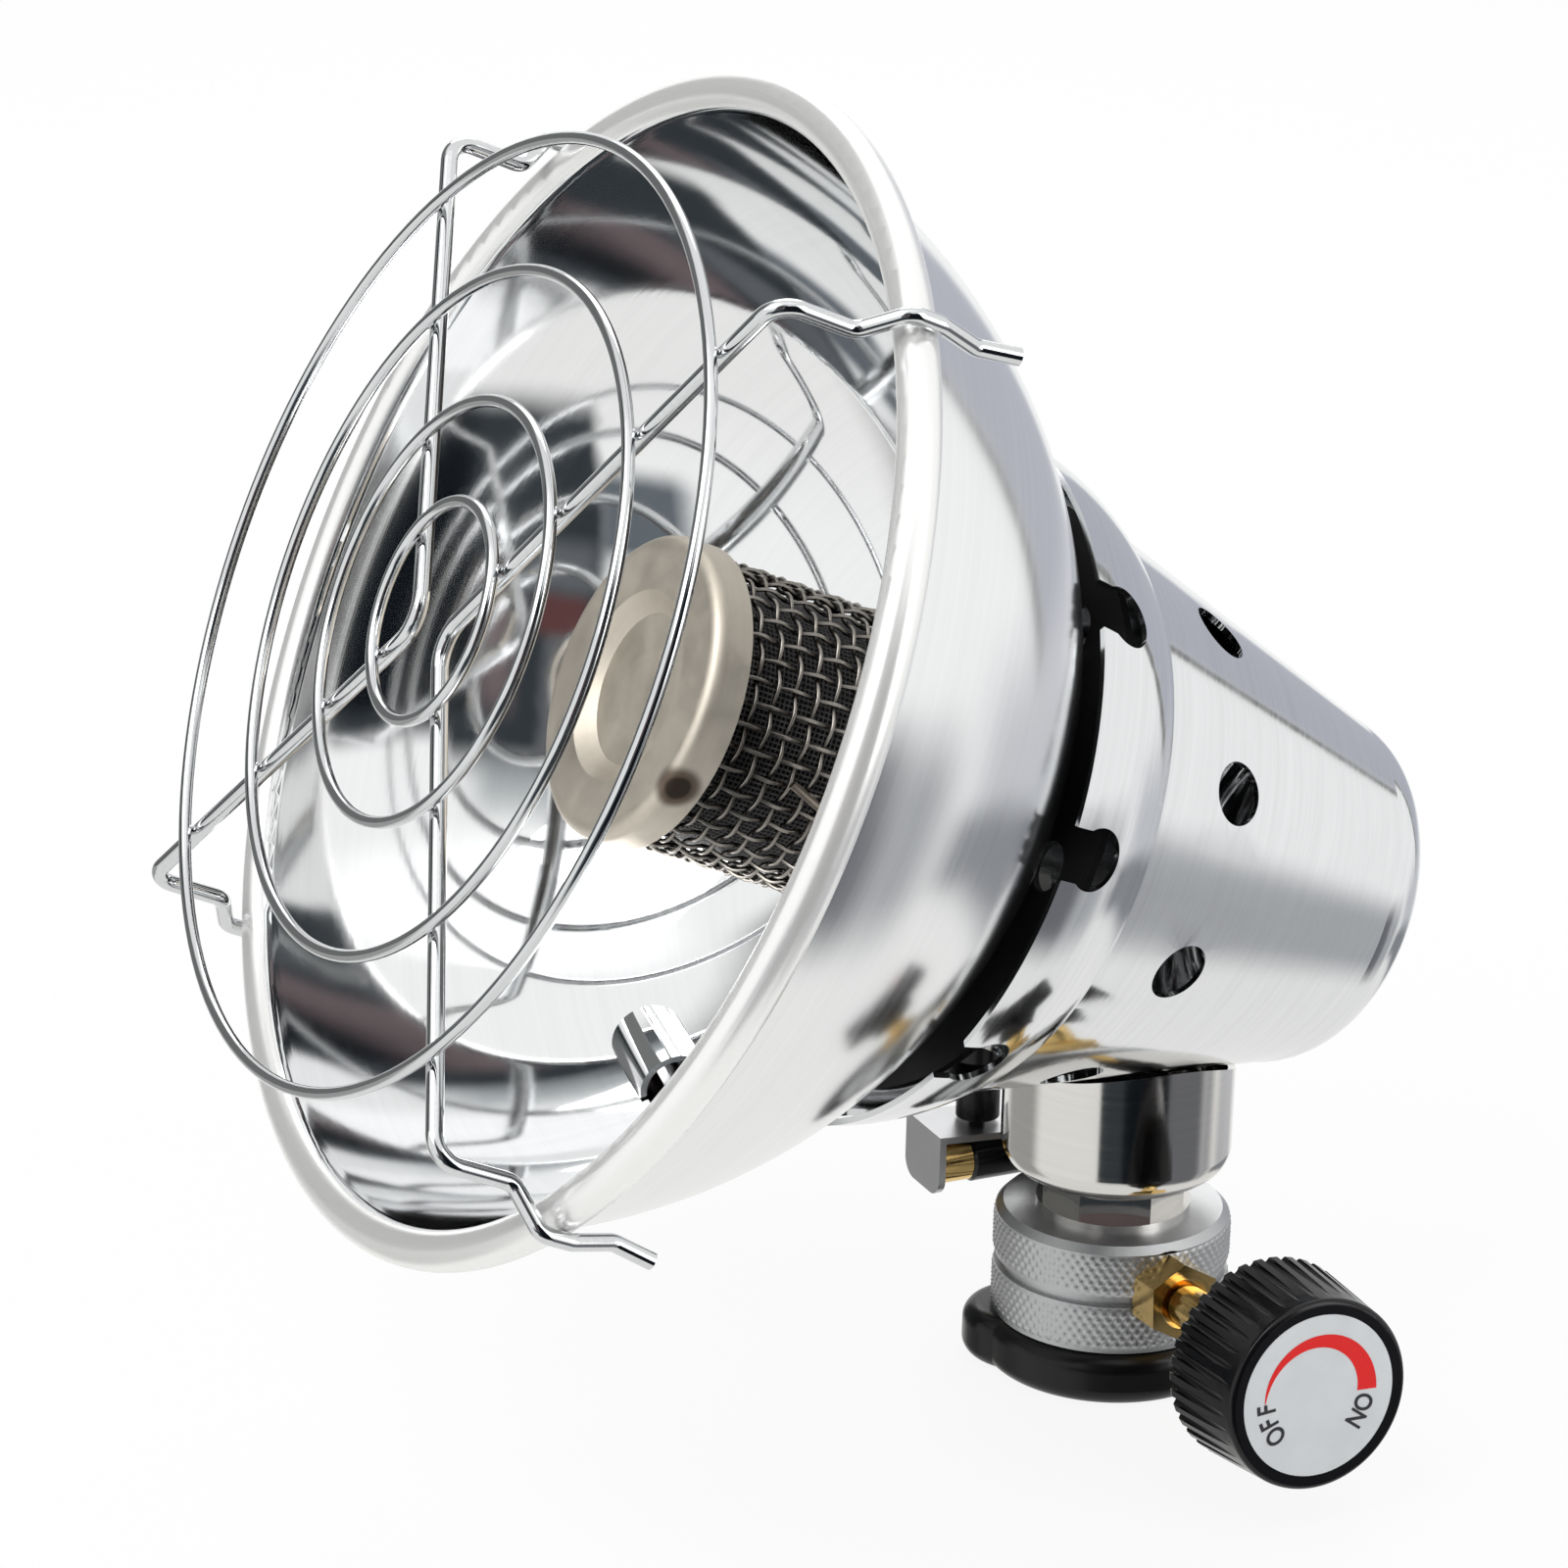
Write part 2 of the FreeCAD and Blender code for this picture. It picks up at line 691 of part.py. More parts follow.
def rear_cover():
    mouth = "dims.cover_mouth"
    waist = "dims.cover_waist"
    middle = "(dims.cover_mouth * 0.42 + dims.cover_waist * 0.58)"
    middle_depth = "(dims.cover_waist_depth * 0.4)"
    flare = "(dims.cover_waist_depth * 2.2)"
    body = doc.addObject("PartDesign::Body", "rear_cover_blank")
    turned(body, "rear_cover_turn", [
        (mouth, "0", flare, -1),
        (waist, "-dims.cover_waist_depth"),
        ("dims.cover_end", "-dims.cover_length + dims.cover_corner", "dims.cover_corner * 1.15", -1),
        ("dims.cover_tail", "-dims.cover_length"),
        ("0", "-dims.cover_length"),
        ("0", "-dims.cover_length + dims.sheet"),
        (
            "dims.cover_tail", "-dims.cover_length + dims.sheet",
            "dims.cover_corner * 1.15 - dims.sheet", 1,
        ),
        ("dims.cover_end - dims.sheet", "-dims.cover_length + dims.cover_corner"),
        (waist + " - dims.sheet", "-dims.cover_waist_depth", flare + " + dims.sheet", 1),
        (mouth + " - dims.sheet", "0"),
    ])
    vent = circle_cut(
        body, "rear_cover_vent", "XZ_Plane", "0", "-dims.vent_depth", "dims.vent_radius",
        "dims.cover_mouth * 1.5", False,
    )
    around(body, "rear_cover_vents", [vent], "dims.vent_count")
    before = volume_of(body)
    half = "dims.notch_neck / 2"
    joint = "-dims.notch_depth + sqrt(dims.notch_radius^2 - (dims.notch_neck / 2)^2)"
    sketch = new_sketch(body, "rear_cover_notch_outline", "XZ_Plane")
    outline(sketch, [
        (half, "dims.notch_depth"),
        ("-" + half, "dims.notch_depth"),
        ("-" + half, joint, "dims.notch_radius", 1),
        ("0", "-dims.notch_depth - dims.notch_radius", "dims.notch_radius", 1),
        (half, joint),
    ])
    notch = body.newObject("PartDesign::Pocket", "rear_cover_notch")
    notch.Profile = sketch
    notch.setExpression("Length", "dims.cover_mouth * 1.5")
    notch.Reversed = True
    body.Tip = notch
    if not volume_of(body) < before - 1:
        raise ValueError("the notch cuts nothing")
    around(body, "rear_cover_notches", [notch], "dims.vent_count")
    body.Placement = COVER.multiply(Placement(Vector(), Rotation(Vector(0, 0, 1), -size.vent_first)))
    ways = fused("rear_cover_ways", [
        primitive("Part::Cylinder", "neck_way", Radius="dims.neck_way", Height="dims.head_height"),
        standing("lead_way", "dims.sleeve_radius + dims.fit_gap", "dims.head_height"),
    ])
    return keep(cut("rear_cover_cut", body, ways), "rear_cover", NECK)


def standing(name, radius, height):
    """A vertical cylinder on the sleeve's line."""
    piece = primitive("Part::Cylinder", name, Radius=radius, Height=height)
    piece.Placement = Placement(Vector(-size.igniter_side, -size.sleeve_place, 0), Rotation())
    return piece


# Neck: valve body, stem, collar and what is inside them

DRUM_TOP = size.boss_height + size.drum_height
COLLAR_FOOT = DRUM_TOP + size.stem_height


def valve_body():
    top = "(dims.boss_height + dims.drum_height)"
    groove = "(dims.boss_height + dims.groove_height)"
    body = doc.addObject("PartDesign::Body", "valve_body_blank")
    turned(body, "valve_body_turn", [
        ("dims.socket_radius", "0"),
        ("dims.boss_radius", "0"),
        ("dims.boss_radius", "dims.boss_height"),
        ("dims.drum_radius", "dims.boss_height"),
        ("dims.drum_radius", groove),
        ("dims.drum_radius - dims.groove_depth", groove),
        ("dims.drum_radius - dims.groove_depth", groove + " + dims.groove_width"),
        ("dims.drum_radius", groove + " + dims.groove_width"),
        ("dims.drum_radius", top + " - dims.drum_chamfer"),
        ("dims.drum_radius - dims.drum_chamfer", top),
        ("dims.spigot_radius + dims.fit_gap", top),
        ("dims.spigot_radius + dims.fit_gap", top + " - dims.spigot_height"),
        ("dims.gas_bore", top + " - dims.spigot_height"),
        ("dims.gas_bore", "dims.socket_depth + dims.seal_groove"),
        ("dims.socket_relief", "dims.socket_depth + dims.seal_groove"),
        ("dims.socket_relief", "dims.socket_depth"),
        ("dims.socket_radius", "dims.socket_depth"),
    ])
    bore = primitive("Part::Cylinder", "spindle_way", Radius="dims.spindle_radius + dims.fit_gap",
                     Height="dims.drum_radius * 2")
    bore.Placement = SPINDLE
    spot = primitive("Part::Cylinder", "gland_seat", Radius="dims.gland_across * 0.62",
                     Height="dims.drum_radius")
    spot.Placement = SPINDLE.multiply(Placement(Vector(0, 0, size.gland_start - size.fit_gap), Rotation()))
    ways = fused("valve_body_ways", [bore, spot])
    return keep(cut("valve_body_cut", body, ways), "valve_body", NECK)


def neck():
    top = "(dims.boss_height + dims.drum_height)"
    foot = "(dims.boss_height + dims.drum_height + dims.stem_height)"
    inside = "(dims.tube_radius + dims.fit_gap)"
    seat = "dims.tube_foot"
    body = doc.addObject("PartDesign::Body", "neck_stem_blank")
    turned(body, "neck_stem_turn", [
        ("dims.gas_bore + dims.jet_wall", top + " - dims.spigot_height"),
        ("dims.spigot_radius", top + " - dims.spigot_height"),
        ("dims.spigot_radius", top),
        ("dims.stem_flange", top),
        ("dims.stem_flange", top + " + dims.stem_washer"),
        ("dims.nipple_radius", top + " + dims.stem_washer"),
        ("dims.nipple_radius", foot + " + dims.nipple_height"),
        (inside, foot + " + dims.nipple_height"),
        (inside, seat),
        ("dims.gas_bore + dims.jet_wall", seat),
    ])
    hexagon = primitive("Part::Prism", "neck_stem_hexagon", Circumradius="dims.stem_across / sqrt(3)",
                        Height="dims.stem_height - dims.stem_washer - dims.bracket_wall - 2 * dims.fit_gap")
    hexagon_place = Vector(0, 0, DRUM_TOP + size.stem_washer)
    hexagon.Placement = Placement(hexagon_place, Rotation(Vector(0, 0, 1), size.stem_turn))
    way = primitive("Part::Cylinder", "neck_stem_way", Radius="dims.gas_bore + dims.jet_wall",
                    Height="dims.boss_height + dims.drum_height + dims.stem_height")
    keep(cut("neck_stem_cut", fused("neck_stem_fused", [body, hexagon]), way), "neck_stem", NECK)
    collar = "dims.collar_radius"
    corner = "dims.collar_corner"
    body = doc.addObject("PartDesign::Body", "collar_blank")
    turned(body, "collar_turn", [
        ("dims.nipple_radius + dims.fit_gap", foot),
        (collar + " - " + corner, foot, corner, 1),
        (collar, foot + " + " + corner),
        (collar, foot + " + dims.collar_height"),
        (collar + " - dims.collar_wall", foot + " + dims.collar_height"),
        (collar + " - dims.collar_wall", foot + " + " + corner, corner + " - dims.collar_wall", -1),
        (collar + " - " + corner, foot + " + dims.collar_floor * 0.75"),
        ("dims.nipple_radius + dims.fit_gap", foot + " + dims.collar_floor"),
    ])
    slope = (
        "(dims.cover_waist - dims.cover_end)"
        " / (dims.cover_length - dims.cover_corner - dims.cover_waist_depth)"
    )
    wide = "dims.cover_waist + dims.saddle_gap"
    length = "(dims.cover_length - dims.cover_waist_depth)"
    narrow = wide + " - " + slope + " * " + length
    saddle = primitive("Part::Cone", "collar_saddle", Radius1=narrow, Radius2=wide, Height=length)
    saddle.Placement = COVER.multiply(Placement(Vector(0, 0, -size.cover_length), Rotation()))
    keep(cut("collar_cut", body, saddle), "collar", NECK)
    nut_place = Vector(0, 0, COLLAR_FOOT + size.collar_floor + size.fit_gap)
    feature("neck_nut", hex_nut(
        size.neck_nut_across, size.neck_nut_height, size.nipple_radius + size.fit_gap, nut_place), NECK)
    jet_foot = "(dims.boss_height + dims.drum_height - dims.spigot_height)"
    turned_piece("jet_holder", [
        ("dims.gas_bore / 2", jet_foot + " + dims.fit_gap"),
        ("dims.gas_bore + dims.jet_wall - dims.fit_gap", jet_foot + " + dims.fit_gap"),
        ("dims.gas_bore + dims.jet_wall - dims.fit_gap", seat + " - dims.fit_gap"),
        ("dims.gas_bore / 2 + dims.jet_thread", seat + " - dims.fit_gap"),
        ("dims.gas_bore / 2 + dims.jet_thread", seat + " - dims.jet_height / 2"),
        ("dims.gas_bore / 2", seat + " - dims.jet_height / 2"),
    ], NECK)
    barrel = "dims.gas_bore / 2 + dims.jet_thread - dims.fit_gap"
    turned_piece("gas_jet", [
        ("dims.jet_hole", seat + " - dims.jet_height / 2 + dims.fit_gap"),
        (barrel, seat + " - dims.jet_height / 2 + dims.fit_gap"),
        (barrel, seat + " + dims.fit_gap"),
        ("dims.gas_bore / 2 + dims.jet_nose", seat + " + dims.jet_height / 2"),
        ("dims.jet_hole", seat + " + dims.jet_height / 2"),
    ], NECK)


def mixing_tube():
    """The bent tube that carries gas and air from the neck to the burner."""
    foot = Vector(0, 0, size.tube_foot + size.fit_gap)
    end = crossing + head_front * (
        size.head_reach - size.bowl_depth + size.sheet + size.base_plate
    )
    outer = bent_wire([foot, crossing, end], [size.tube_bend], size.tube_radius)
    bore = bent_wire([foot, crossing, end], [size.tube_bend], size.tube_radius - size.tube_wall)
    shape = outer.cut(bore)
    height = COLLAR_FOOT + size.nipple_height + size.air_hole * 1.8
    for turn in (45, 135):
        way = Vector(math.cos(math.radians(turn)), math.sin(math.radians(turn)), 0)
        start = Vector(0, 0, height) - way * size.collar_radius
        shape = shape.cut(Part.makeCylinder(size.air_hole, 2 * size.collar_radius, start, way))
    return feature("mixing_tube", shape, NECK)


def socket_parts():
    """What sits in the cartridge socket: its seal, its filter and the pin that opens the valve."""
    depth = size.socket_depth
    ring = primitive("Part::Torus", "socket_seal", Radius1="dims.socket_relief - dims.seal_groove * 0.42",
                     Radius2="dims.seal_groove * 0.4")
    keep(ring, "socket_seal", Placement(Vector(0, 0, depth + size.seal_groove * 0.57), Rotation()))
    foot = depth + size.seal_gap
    pin = Part.makeCylinder(size.gas_bore - size.fit_gap, size.gas_bore * 2,
                            Vector(0, 0, depth + size.seal_groove - size.gas_bore * 0.5))
    tip = Part.makeCylinder(size.gas_bore * 0.45, size.gas_bore * 1.4, Vector(0, 0, foot))
    way = Part.makeCylinder(size.gas_bore * 0.2, size.gas_bore * 4, Vector(0, 0, foot - size.gas_bore))
    feature("opening_pin", pin.fuse(tip).removeSplitter().cut(way), NECK)


def cartridge_seat():
    """The rubber ring round the socket's boss, with its pull tab."""
    inner = size.boss_radius + size.fit_gap
    top = size.boss_height - size.fit_gap
    foot = Vector(0, 0, top - size.seat_height)
    ring = Part.makeCylinder(size.seat_radius, size.seat_height, foot)
    ring = ring.makeFillet(size.seat_edge, [ring.Edges[2], ring.Edges[0]])
    lean = math.radians(size.tab_angle)
    way = Vector(math.cos(lean), math.sin(lean), 0)
    place = foot + way * (size.seat_radius + size.tab_length - size.tab_width / 2)
    tab = Part.makeCylinder(size.tab_width / 2, size.seat_height, place)
    tab = tab.makeFillet(size.seat_edge * 0.98, [tab.Edges[2], tab.Edges[0]])
    shape = ring.fuse(tab).removeSplitter()
    bore = Part.makeCylinder(inner, size.seat_height * 3, Vector(0, 0, top - size.seat_height * 2))
    return feature("cartridge_seat", shape.cut(bore), NECK)


# Valve spindle and knob, along the spindle's own axis

def spindle_group():
    nut = hex_nut(size.gland_across, size.gland_length, size.spindle_radius + size.fit_gap,
                  Vector(0, 0, size.gland_start))
    mouth = Part.makeCylinder(size.gland_mouth, size.gland_mouth_depth,
                              Vector(0, 0, size.gland_start + size.gland_length - size.gland_mouth_depth))
    packing = Part.makeCylinder(size.spindle_radius + 2 * size.packing_radius, 2 * size.packing_radius,
                                Vector(0, 0, size.gland_start))
    feature("gland_nut", nut.cut(mouth).cut(packing), SPINDLE)
    turned_piece("valve_spindle", [
        ("0", "dims.spindle_tip_place"),
        ("dims.spindle_tip_radius", "dims.spindle_tip_place"),
        ("dims.spindle_radius * 0.55", "dims.spindle_tip_place + dims.spindle_tip_length"),
        ("dims.spindle_radius", "dims.spindle_tip_place + dims.spindle_shoulder"),
        ("dims.spindle_radius", "dims.knob_start + dims.spindle_end"),
        ("dims.spindle_radius * 0.5", "dims.knob_start + dims.spindle_end"),
        ("dims.spindle_radius * 0.5", "dims.knob_start + dims.spindle_tap_floor"),
        ("0", "dims.knob_start + dims.spindle_tap_floor"),
    ], SPINDLE)
    seal = primitive("Part::Torus", "spindle_packing", Radius1="dims.spindle_radius + dims.packing_radius",
                     Radius2="dims.packing_radius - dims.fit_gap")
    middle = Vector(0, 0, size.gland_start + size.packing_radius)
    keep(seal, "spindle_seal", SPINDLE.multiply(Placement(middle, Rotation())))


def knob():
    end = "(dims.knob_start + dims.knob_length)"
    bore = "(dims.spindle_radius + dims.fit_gap)"
    body = doc.addObject("PartDesign::Body", "knob")
    turned(body, "knob_turn", [
        (bore, "dims.knob_start - dims.knob_hub_length"),
        ("dims.knob_hub", "dims.knob_start - dims.knob_hub_length"),
        ("dims.knob_hub + dims.knob_edge", "dims.knob_start"),
        ("dims.knob_radius - dims.knob_edge", "dims.knob_start", "dims.knob_edge", 1),
        ("dims.knob_radius", "dims.knob_start + dims.knob_edge"),
        ("dims.knob_radius - dims.knob_taper", end + " - dims.knob_front_edge", "dims.knob_front_edge", 1),
        ("dims.knob_radius - dims.knob_taper - dims.knob_front_edge", end),
        ("dims.label_radius + dims.fit_gap", end),
        ("dims.label_radius + dims.fit_gap", end + " - dims.label_wall"),
        ("dims.screw_head + dims.fit_gap", end + " - dims.label_wall"),
        ("dims.screw_head + dims.fit_gap", "dims.knob_start + dims.knob_web_front"),
        ("dims.screw_radius * 0.8", "dims.knob_start + dims.knob_web_front"),
        ("dims.screw_radius * 0.8", "dims.knob_start + dims.knob_web_rear"),
        (bore, "dims.knob_start + dims.knob_web_rear"),
    ])
    groove = circle_cut(
        body, "knob_rib_groove", "XY_Plane", "dims.knob_radius + dims.rib_groove - dims.rib_depth", "0",
        "dims.rib_groove", "2 * (dims.knob_start + dims.knob_length + 1)", False, True,
    )
    around(body, "knob_ribs", [groove], "dims.rib_count")
    keep(body, "knob", SPINDLE)
    turned_piece("knob_label", [
        ("0", end + " - dims.label_wall + dims.fit_gap"),
        ("dims.label_radius", end + " - dims.label_wall + dims.fit_gap"),
        ("dims.label_radius", end + " - dims.fit_gap"),
        ("0", end + " - dims.fit_gap"),
    ], SPINDLE)
    shank = "dims.screw_radius * 0.8 - dims.fit_gap"
    turned_piece("knob_screw", [
        ("0", "dims.knob_start + dims.knob_screw_reach"),
        (shank, "dims.knob_start + dims.knob_screw_reach"),
        (shank, "dims.knob_start + dims.knob_web_front + dims.fit_gap"),
        ("dims.screw_head", "dims.knob_start + dims.knob_web_front + dims.fit_gap"),
        ("dims.screw_head", end + " - dims.label_wall - dims.knob_screw_sink"),
        ("0", end + " - dims.label_wall - dims.knob_screw_sink"),
    ], SPINDLE)


# Igniter, along its own axis, with its front at zero

def igniter():
    body = doc.addObject("PartDesign::Body", "igniter_body")
    rear = "dims.igniter_length"
    well = "(dims.igniter_length - dims.press_travel * 3)"
    turned(body, "igniter_body_turn", [
        ("0", "0"),
        ("dims.igniter_radius - dims.igniter_edge", "0"),
        ("dims.igniter_radius", "dims.igniter_edge"),
        ("dims.igniter_radius", rear + " - dims.igniter_edge"),
        ("dims.igniter_radius - dims.igniter_edge", rear),
        ("dims.button_radius + dims.fit_gap", rear),
        ("dims.button_radius + dims.fit_gap", well),
        ("0", well),
    ])
    keep(body, "igniter_body", IGNITER)
    ahead = Vector(0, 0, -size.ferrule_length - size.fit_gap)
    ferrule_place = IGNITER.multiply(Placement(ahead, Rotation()))
    turned_piece("igniter_ferrule", [
        ("0", "0"),
        ("dims.ferrule_radius - dims.ferrule_edge", "0"),
        ("dims.ferrule_radius", "dims.ferrule_edge"),
        ("dims.ferrule_radius", "dims.ferrule_length"),
        ("0", "dims.ferrule_length"),
    ], ferrule_place)
    tail = rear + " + dims.press_travel + dims.button_proud"
    spring_top = "(" + well + " + dims.spring_height + 2 * dims.spring_wire + dims.fit_gap)"
    shoulder = spring_top + " + dims.press_travel + dims.seat_gap"
    turned_piece("igniter_button", [
        ("0", well + " + dims.press_travel + dims.seat_gap"),
        ("dims.button_radius * 0.4", well + " + dims.press_travel + dims.seat_gap"),
        ("dims.button_radius * 0.4", shoulder),
        ("dims.button_radius", shoulder),
        ("dims.button_radius", tail + " - dims.button_edge"),
        ("dims.button_radius - dims.button_edge", tail),
        ("0", tail),
    ], IGNITER)


def igniter_spring():
    """A short coil behind the button, in the igniter's well."""
    wire = size.spring_wire
    coil = size.button_radius * 0.7
    base = size.igniter_length - size.press_travel * 3 + wire + size.fit_gap
    helix = Part.makeHelix(size.spring_height / 3, size.spring_height, coil)
    helix.translate(Vector(0, 0, base))
    profile = Part.Wire([Part.Circle(Vector(coil, 0, base), Vector(0, 1, 0), wire).toShape()])
    shape = Part.Wire(helix.Edges).makePipeShell([profile], True, True)
    return feature("igniter_spring", shape, IGNITER)


def igniter_bracket():
    """A strip beside the valve with a turned-down front, on a ring clamped under the collar."""
    wall = size.bracket_wall
    ring_top = COLLAR_FOOT - size.fit_gap
    ring = Part.makeCylinder(size.stem_flange, wall, Vector(0, 0, ring_top - wall))
    near = -size.igniter_side + size.bracket_width / 2
    far = -size.igniter_side - size.bracket_width / 2
    rear = size.stem_flange * 0.6
    arm = Part.makeBox(-near - size.nipple_radius, 2 * rear, wall, Vector(near, -rear, ring_top - wall))
    slope_start = -rear
    front = -size.bracket_front
    top = ring_top + size.bracket_rise
    strip = Part.Face(Part.makePolygon([
        Vector(far, rear, ring_top),
        Vector(far, slope_start, ring_top),
        Vector(far, front, top),
        Vector(far, front, top - size.bracket_drop),
        Vector(far, front + wall, top - size.bracket_drop),
        Vector(far, front + wall, top - wall * 1.05),
        Vector(far, slope_start, ring_top - wall),
        Vector(far, rear, ring_top - wall),
        Vector(far, rear, ring_top),
    ])).extrude(Vector(size.bracket_width, 0, 0))
    shape = strip.fuse([arm, ring]).removeSplitter()
    for side in (far, near):
        toward = 1 if side == far else -1
        corner = Vector(side, front - 1, top - size.bracket_drop)
        block = Part.makeBox(size.bracket_corner, wall + 2, size.bracket_corner)
        block.translate(Vector(min(side, side + toward * size.bracket_corner), corner.y, corner.z))
        round_centre = Vector(side + toward * size.bracket_corner, corner.y, corner.z + size.bracket_corner)
        block = block.cut(Part.makeCylinder(size.bracket_corner, wall + 2, round_centre, Vector(0, 1, 0)))
        shape = shape.cut(block)
    lead_hole = Part.makeCylinder(
        size.lead_radius + size.fit_gap, wall * 8,
        Vector(-size.igniter_side, -size.sleeve_place, ring_top - wall * 4),
    )
    stem_hole = Part.makeCylinder(
        size.nipple_radius + size.fit_gap, wall * 8, Vector(0, 0, ring_top - wall * 4)
    )
    return feature("igniter_bracket", shape.cut(lead_hole).cut(stem_hole), NECK)


def head_point(across, up, ahead):
    """A place in the head's own frame, in the world's."""
    return HEAD.multVec(Vector(across, up, ahead))


def lead_and_electrode():
    """The spark's way: a sleeved lead from the igniter to the electrode beside the mesh."""
    angle = math.radians(size.electrode_angle)
    across = size.electrode_circle * math.sin(angle)
    up = size.electrode_circle * math.cos(angle)
    body_top = size.igniter_height + size.igniter_radius + size.fit_gap
    foot = Vector(-size.igniter_side, -size.sleeve_place, body_top)
    sleeve_foot = Vector(foot.x, foot.y, COLLAR_FOOT + size.bracket_wall)
    sleeve_top = Vector(foot.x, foot.y, size.sleeve_top)
    sleeve = Part.makeCylinder(size.sleeve_radius, sleeve_top.z - sleeve_foot.z, sleeve_foot)
    bore = Part.makeCylinder(size.lead_radius + size.fit_gap, sleeve_top.z - sleeve_foot.z, sleeve_foot)
    feature("lead_sleeve", sleeve.cut(bore), NECK)
    end = head_point(across, up, -size.electrode_rear)
    points = [
        foot,
        sleeve_top + Vector(0, 0, size.lead_radius * 4),
        head_point(0, up - size.electrode_circle * 0.6, -size.lead_depth),
        head_point(across, up, -size.lead_depth - size.lead_radius),
        end,
    ]
    bends = [size.lead_radius * 4, size.lead_radius * 4, size.lead_radius * 2]
    feature("igniter_lead", bent_wire(points, bends, size.lead_radius), NECK)
    rear = Vector(across, up, -size.electrode_rear)
    ceramic = Part.makeCylinder(size.electrode_radius, size.electrode_rear - size.electrode_front, rear)
    bore = Part.makeCylinder(size.electrode_wire + size.fit_gap, size.electrode_rear, rear)
    feature("electrode_ceramic", ceramic.cut(bore), HEAD)
    rod = [
        Vector(across, up, -size.electrode_rear + size.fit_gap),
        Vector(across, up, -size.electrode_tip - size.electrode_kink),
        Vector(across - size.electrode_lean, up + size.electrode_lift, -size.electrode_tip),
    ]
    feature("electrode_wire", bent_wire(rod, [size.electrode_bend], size.electrode_wire), HEAD)


# Assembly of the head's and the neck's cut pieces

reflector()
bowl_hood()
guard_ring("guard_ring_outer", "dims.ring_radius_a")
guard_ring("guard_ring_second", "dims.ring_radius_b")
guard_ring("guard_ring_third", "dims.ring_radius_c")
guard_ring("guard_ring_inner", "dims.ring_radius_d")
guard_wire("guard_wire_left", size.corner_left, size.arm_angle_upper_left, size.arm_angle_lower_left)
guard_wire("guard_wire_right", size.corner_right, size.arm_angle_upper_right, size.arm_angle_lower_right)
burner()
screws_and_nuts()
heat_shield()
rear_cover()
valve_body()
neck()
mixing_tube()
socket_parts()
cartridge_seat()
spindle_group()
knob()
igniter()
igniter_spring()
igniter_bracket()
lead_and_electrode()

doc.recompute()
for piece in pieces:
    shape = piece.Shape
    print(piece.Label, piece.State, round(shape.Volume, 2), shape.isValid(), len(shape.Solids))
os.makedirs("parts", exist_ok=True)
for piece in pieces:
    piece.Shape.exportStep("parts/%s.step" % piece.Label)
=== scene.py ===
import math
import bpy
from mathutils import Matrix, Vector


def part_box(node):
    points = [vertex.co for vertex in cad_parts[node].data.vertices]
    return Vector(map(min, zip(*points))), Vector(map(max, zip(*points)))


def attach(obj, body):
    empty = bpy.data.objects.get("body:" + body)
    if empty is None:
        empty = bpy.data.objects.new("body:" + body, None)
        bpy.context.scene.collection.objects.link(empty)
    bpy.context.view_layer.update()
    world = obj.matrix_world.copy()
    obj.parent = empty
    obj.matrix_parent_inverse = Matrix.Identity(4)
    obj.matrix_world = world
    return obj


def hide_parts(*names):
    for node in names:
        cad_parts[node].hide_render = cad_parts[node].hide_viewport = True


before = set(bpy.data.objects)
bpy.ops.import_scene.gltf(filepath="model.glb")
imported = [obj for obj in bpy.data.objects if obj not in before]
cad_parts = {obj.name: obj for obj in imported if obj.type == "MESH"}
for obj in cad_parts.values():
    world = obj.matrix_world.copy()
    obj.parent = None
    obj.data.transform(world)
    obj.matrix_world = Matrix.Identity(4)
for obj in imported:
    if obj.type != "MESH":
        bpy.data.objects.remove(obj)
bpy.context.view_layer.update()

MM = 0.001

# Places shared with the solids

HEAD_TILT = 23.8
CROSSING = Vector((0, 0, 65.5 * MM))
AIM = Vector((0, -math.cos(math.radians(HEAD_TILT)), math.sin(math.radians(HEAD_TILT))))
RIM_CENTRE = CROSSING + AIM * 83.3 * MM
HEAD = Matrix.Translation(RIM_CENTRE) @ Matrix.Rotation(math.radians(90 - HEAD_TILT), 4, "X")
SPINDLE_HEIGHT = 12.3 * MM
SPINDLE_LEAN = 86.0
SPINDLE = (
    Matrix.Translation((0, 0, SPINDLE_HEIGHT)) @ Matrix.Rotation(math.radians(SPINDLE_LEAN), 4, "Y")
)
UP = Vector((0, 0, 1))

# Bowl: where the satin rim starts, and the arc of the wall seen from the rim's centre

RIM_SATIN_FROM = 65.35 * MM
BOWL_ARC_AHEAD = 11.28 * MM
BOWL_ARC_ACROSS = 4.69 * MM
BOWL_ARC_FOOT = 25.5 * MM
BOWL_ARC_TOP = 65.0 * MM
ARC_CLOSE = 0.15
STREAKS_FROM = 48 * MM
STREAKS_FULL = 66 * MM

# Burner: its woven mesh, and the spot weld on its cap

MESH_RADIUS = 16.75 * MM
MESH_WIRE = 0.27 * MM
MESH_WAVE = 0.36 * MM
MESH_BARS = 40
MESH_RINGS = 15
MESH_FRONT = -12.45 * MM
MESH_REAR = -52.2 * MM
GAUZE_PITCH = 0.6 * MM
GAUZE_BARS = 150.0
SPOT_PLACE = Vector((16.9, -6.6, -12.6)) * MM
SPOT_CORE = 1.2 * MM
SPOT_EDGE = 1.9 * MM
SPOT_HALO = 3.2 * MM


# Node helpers

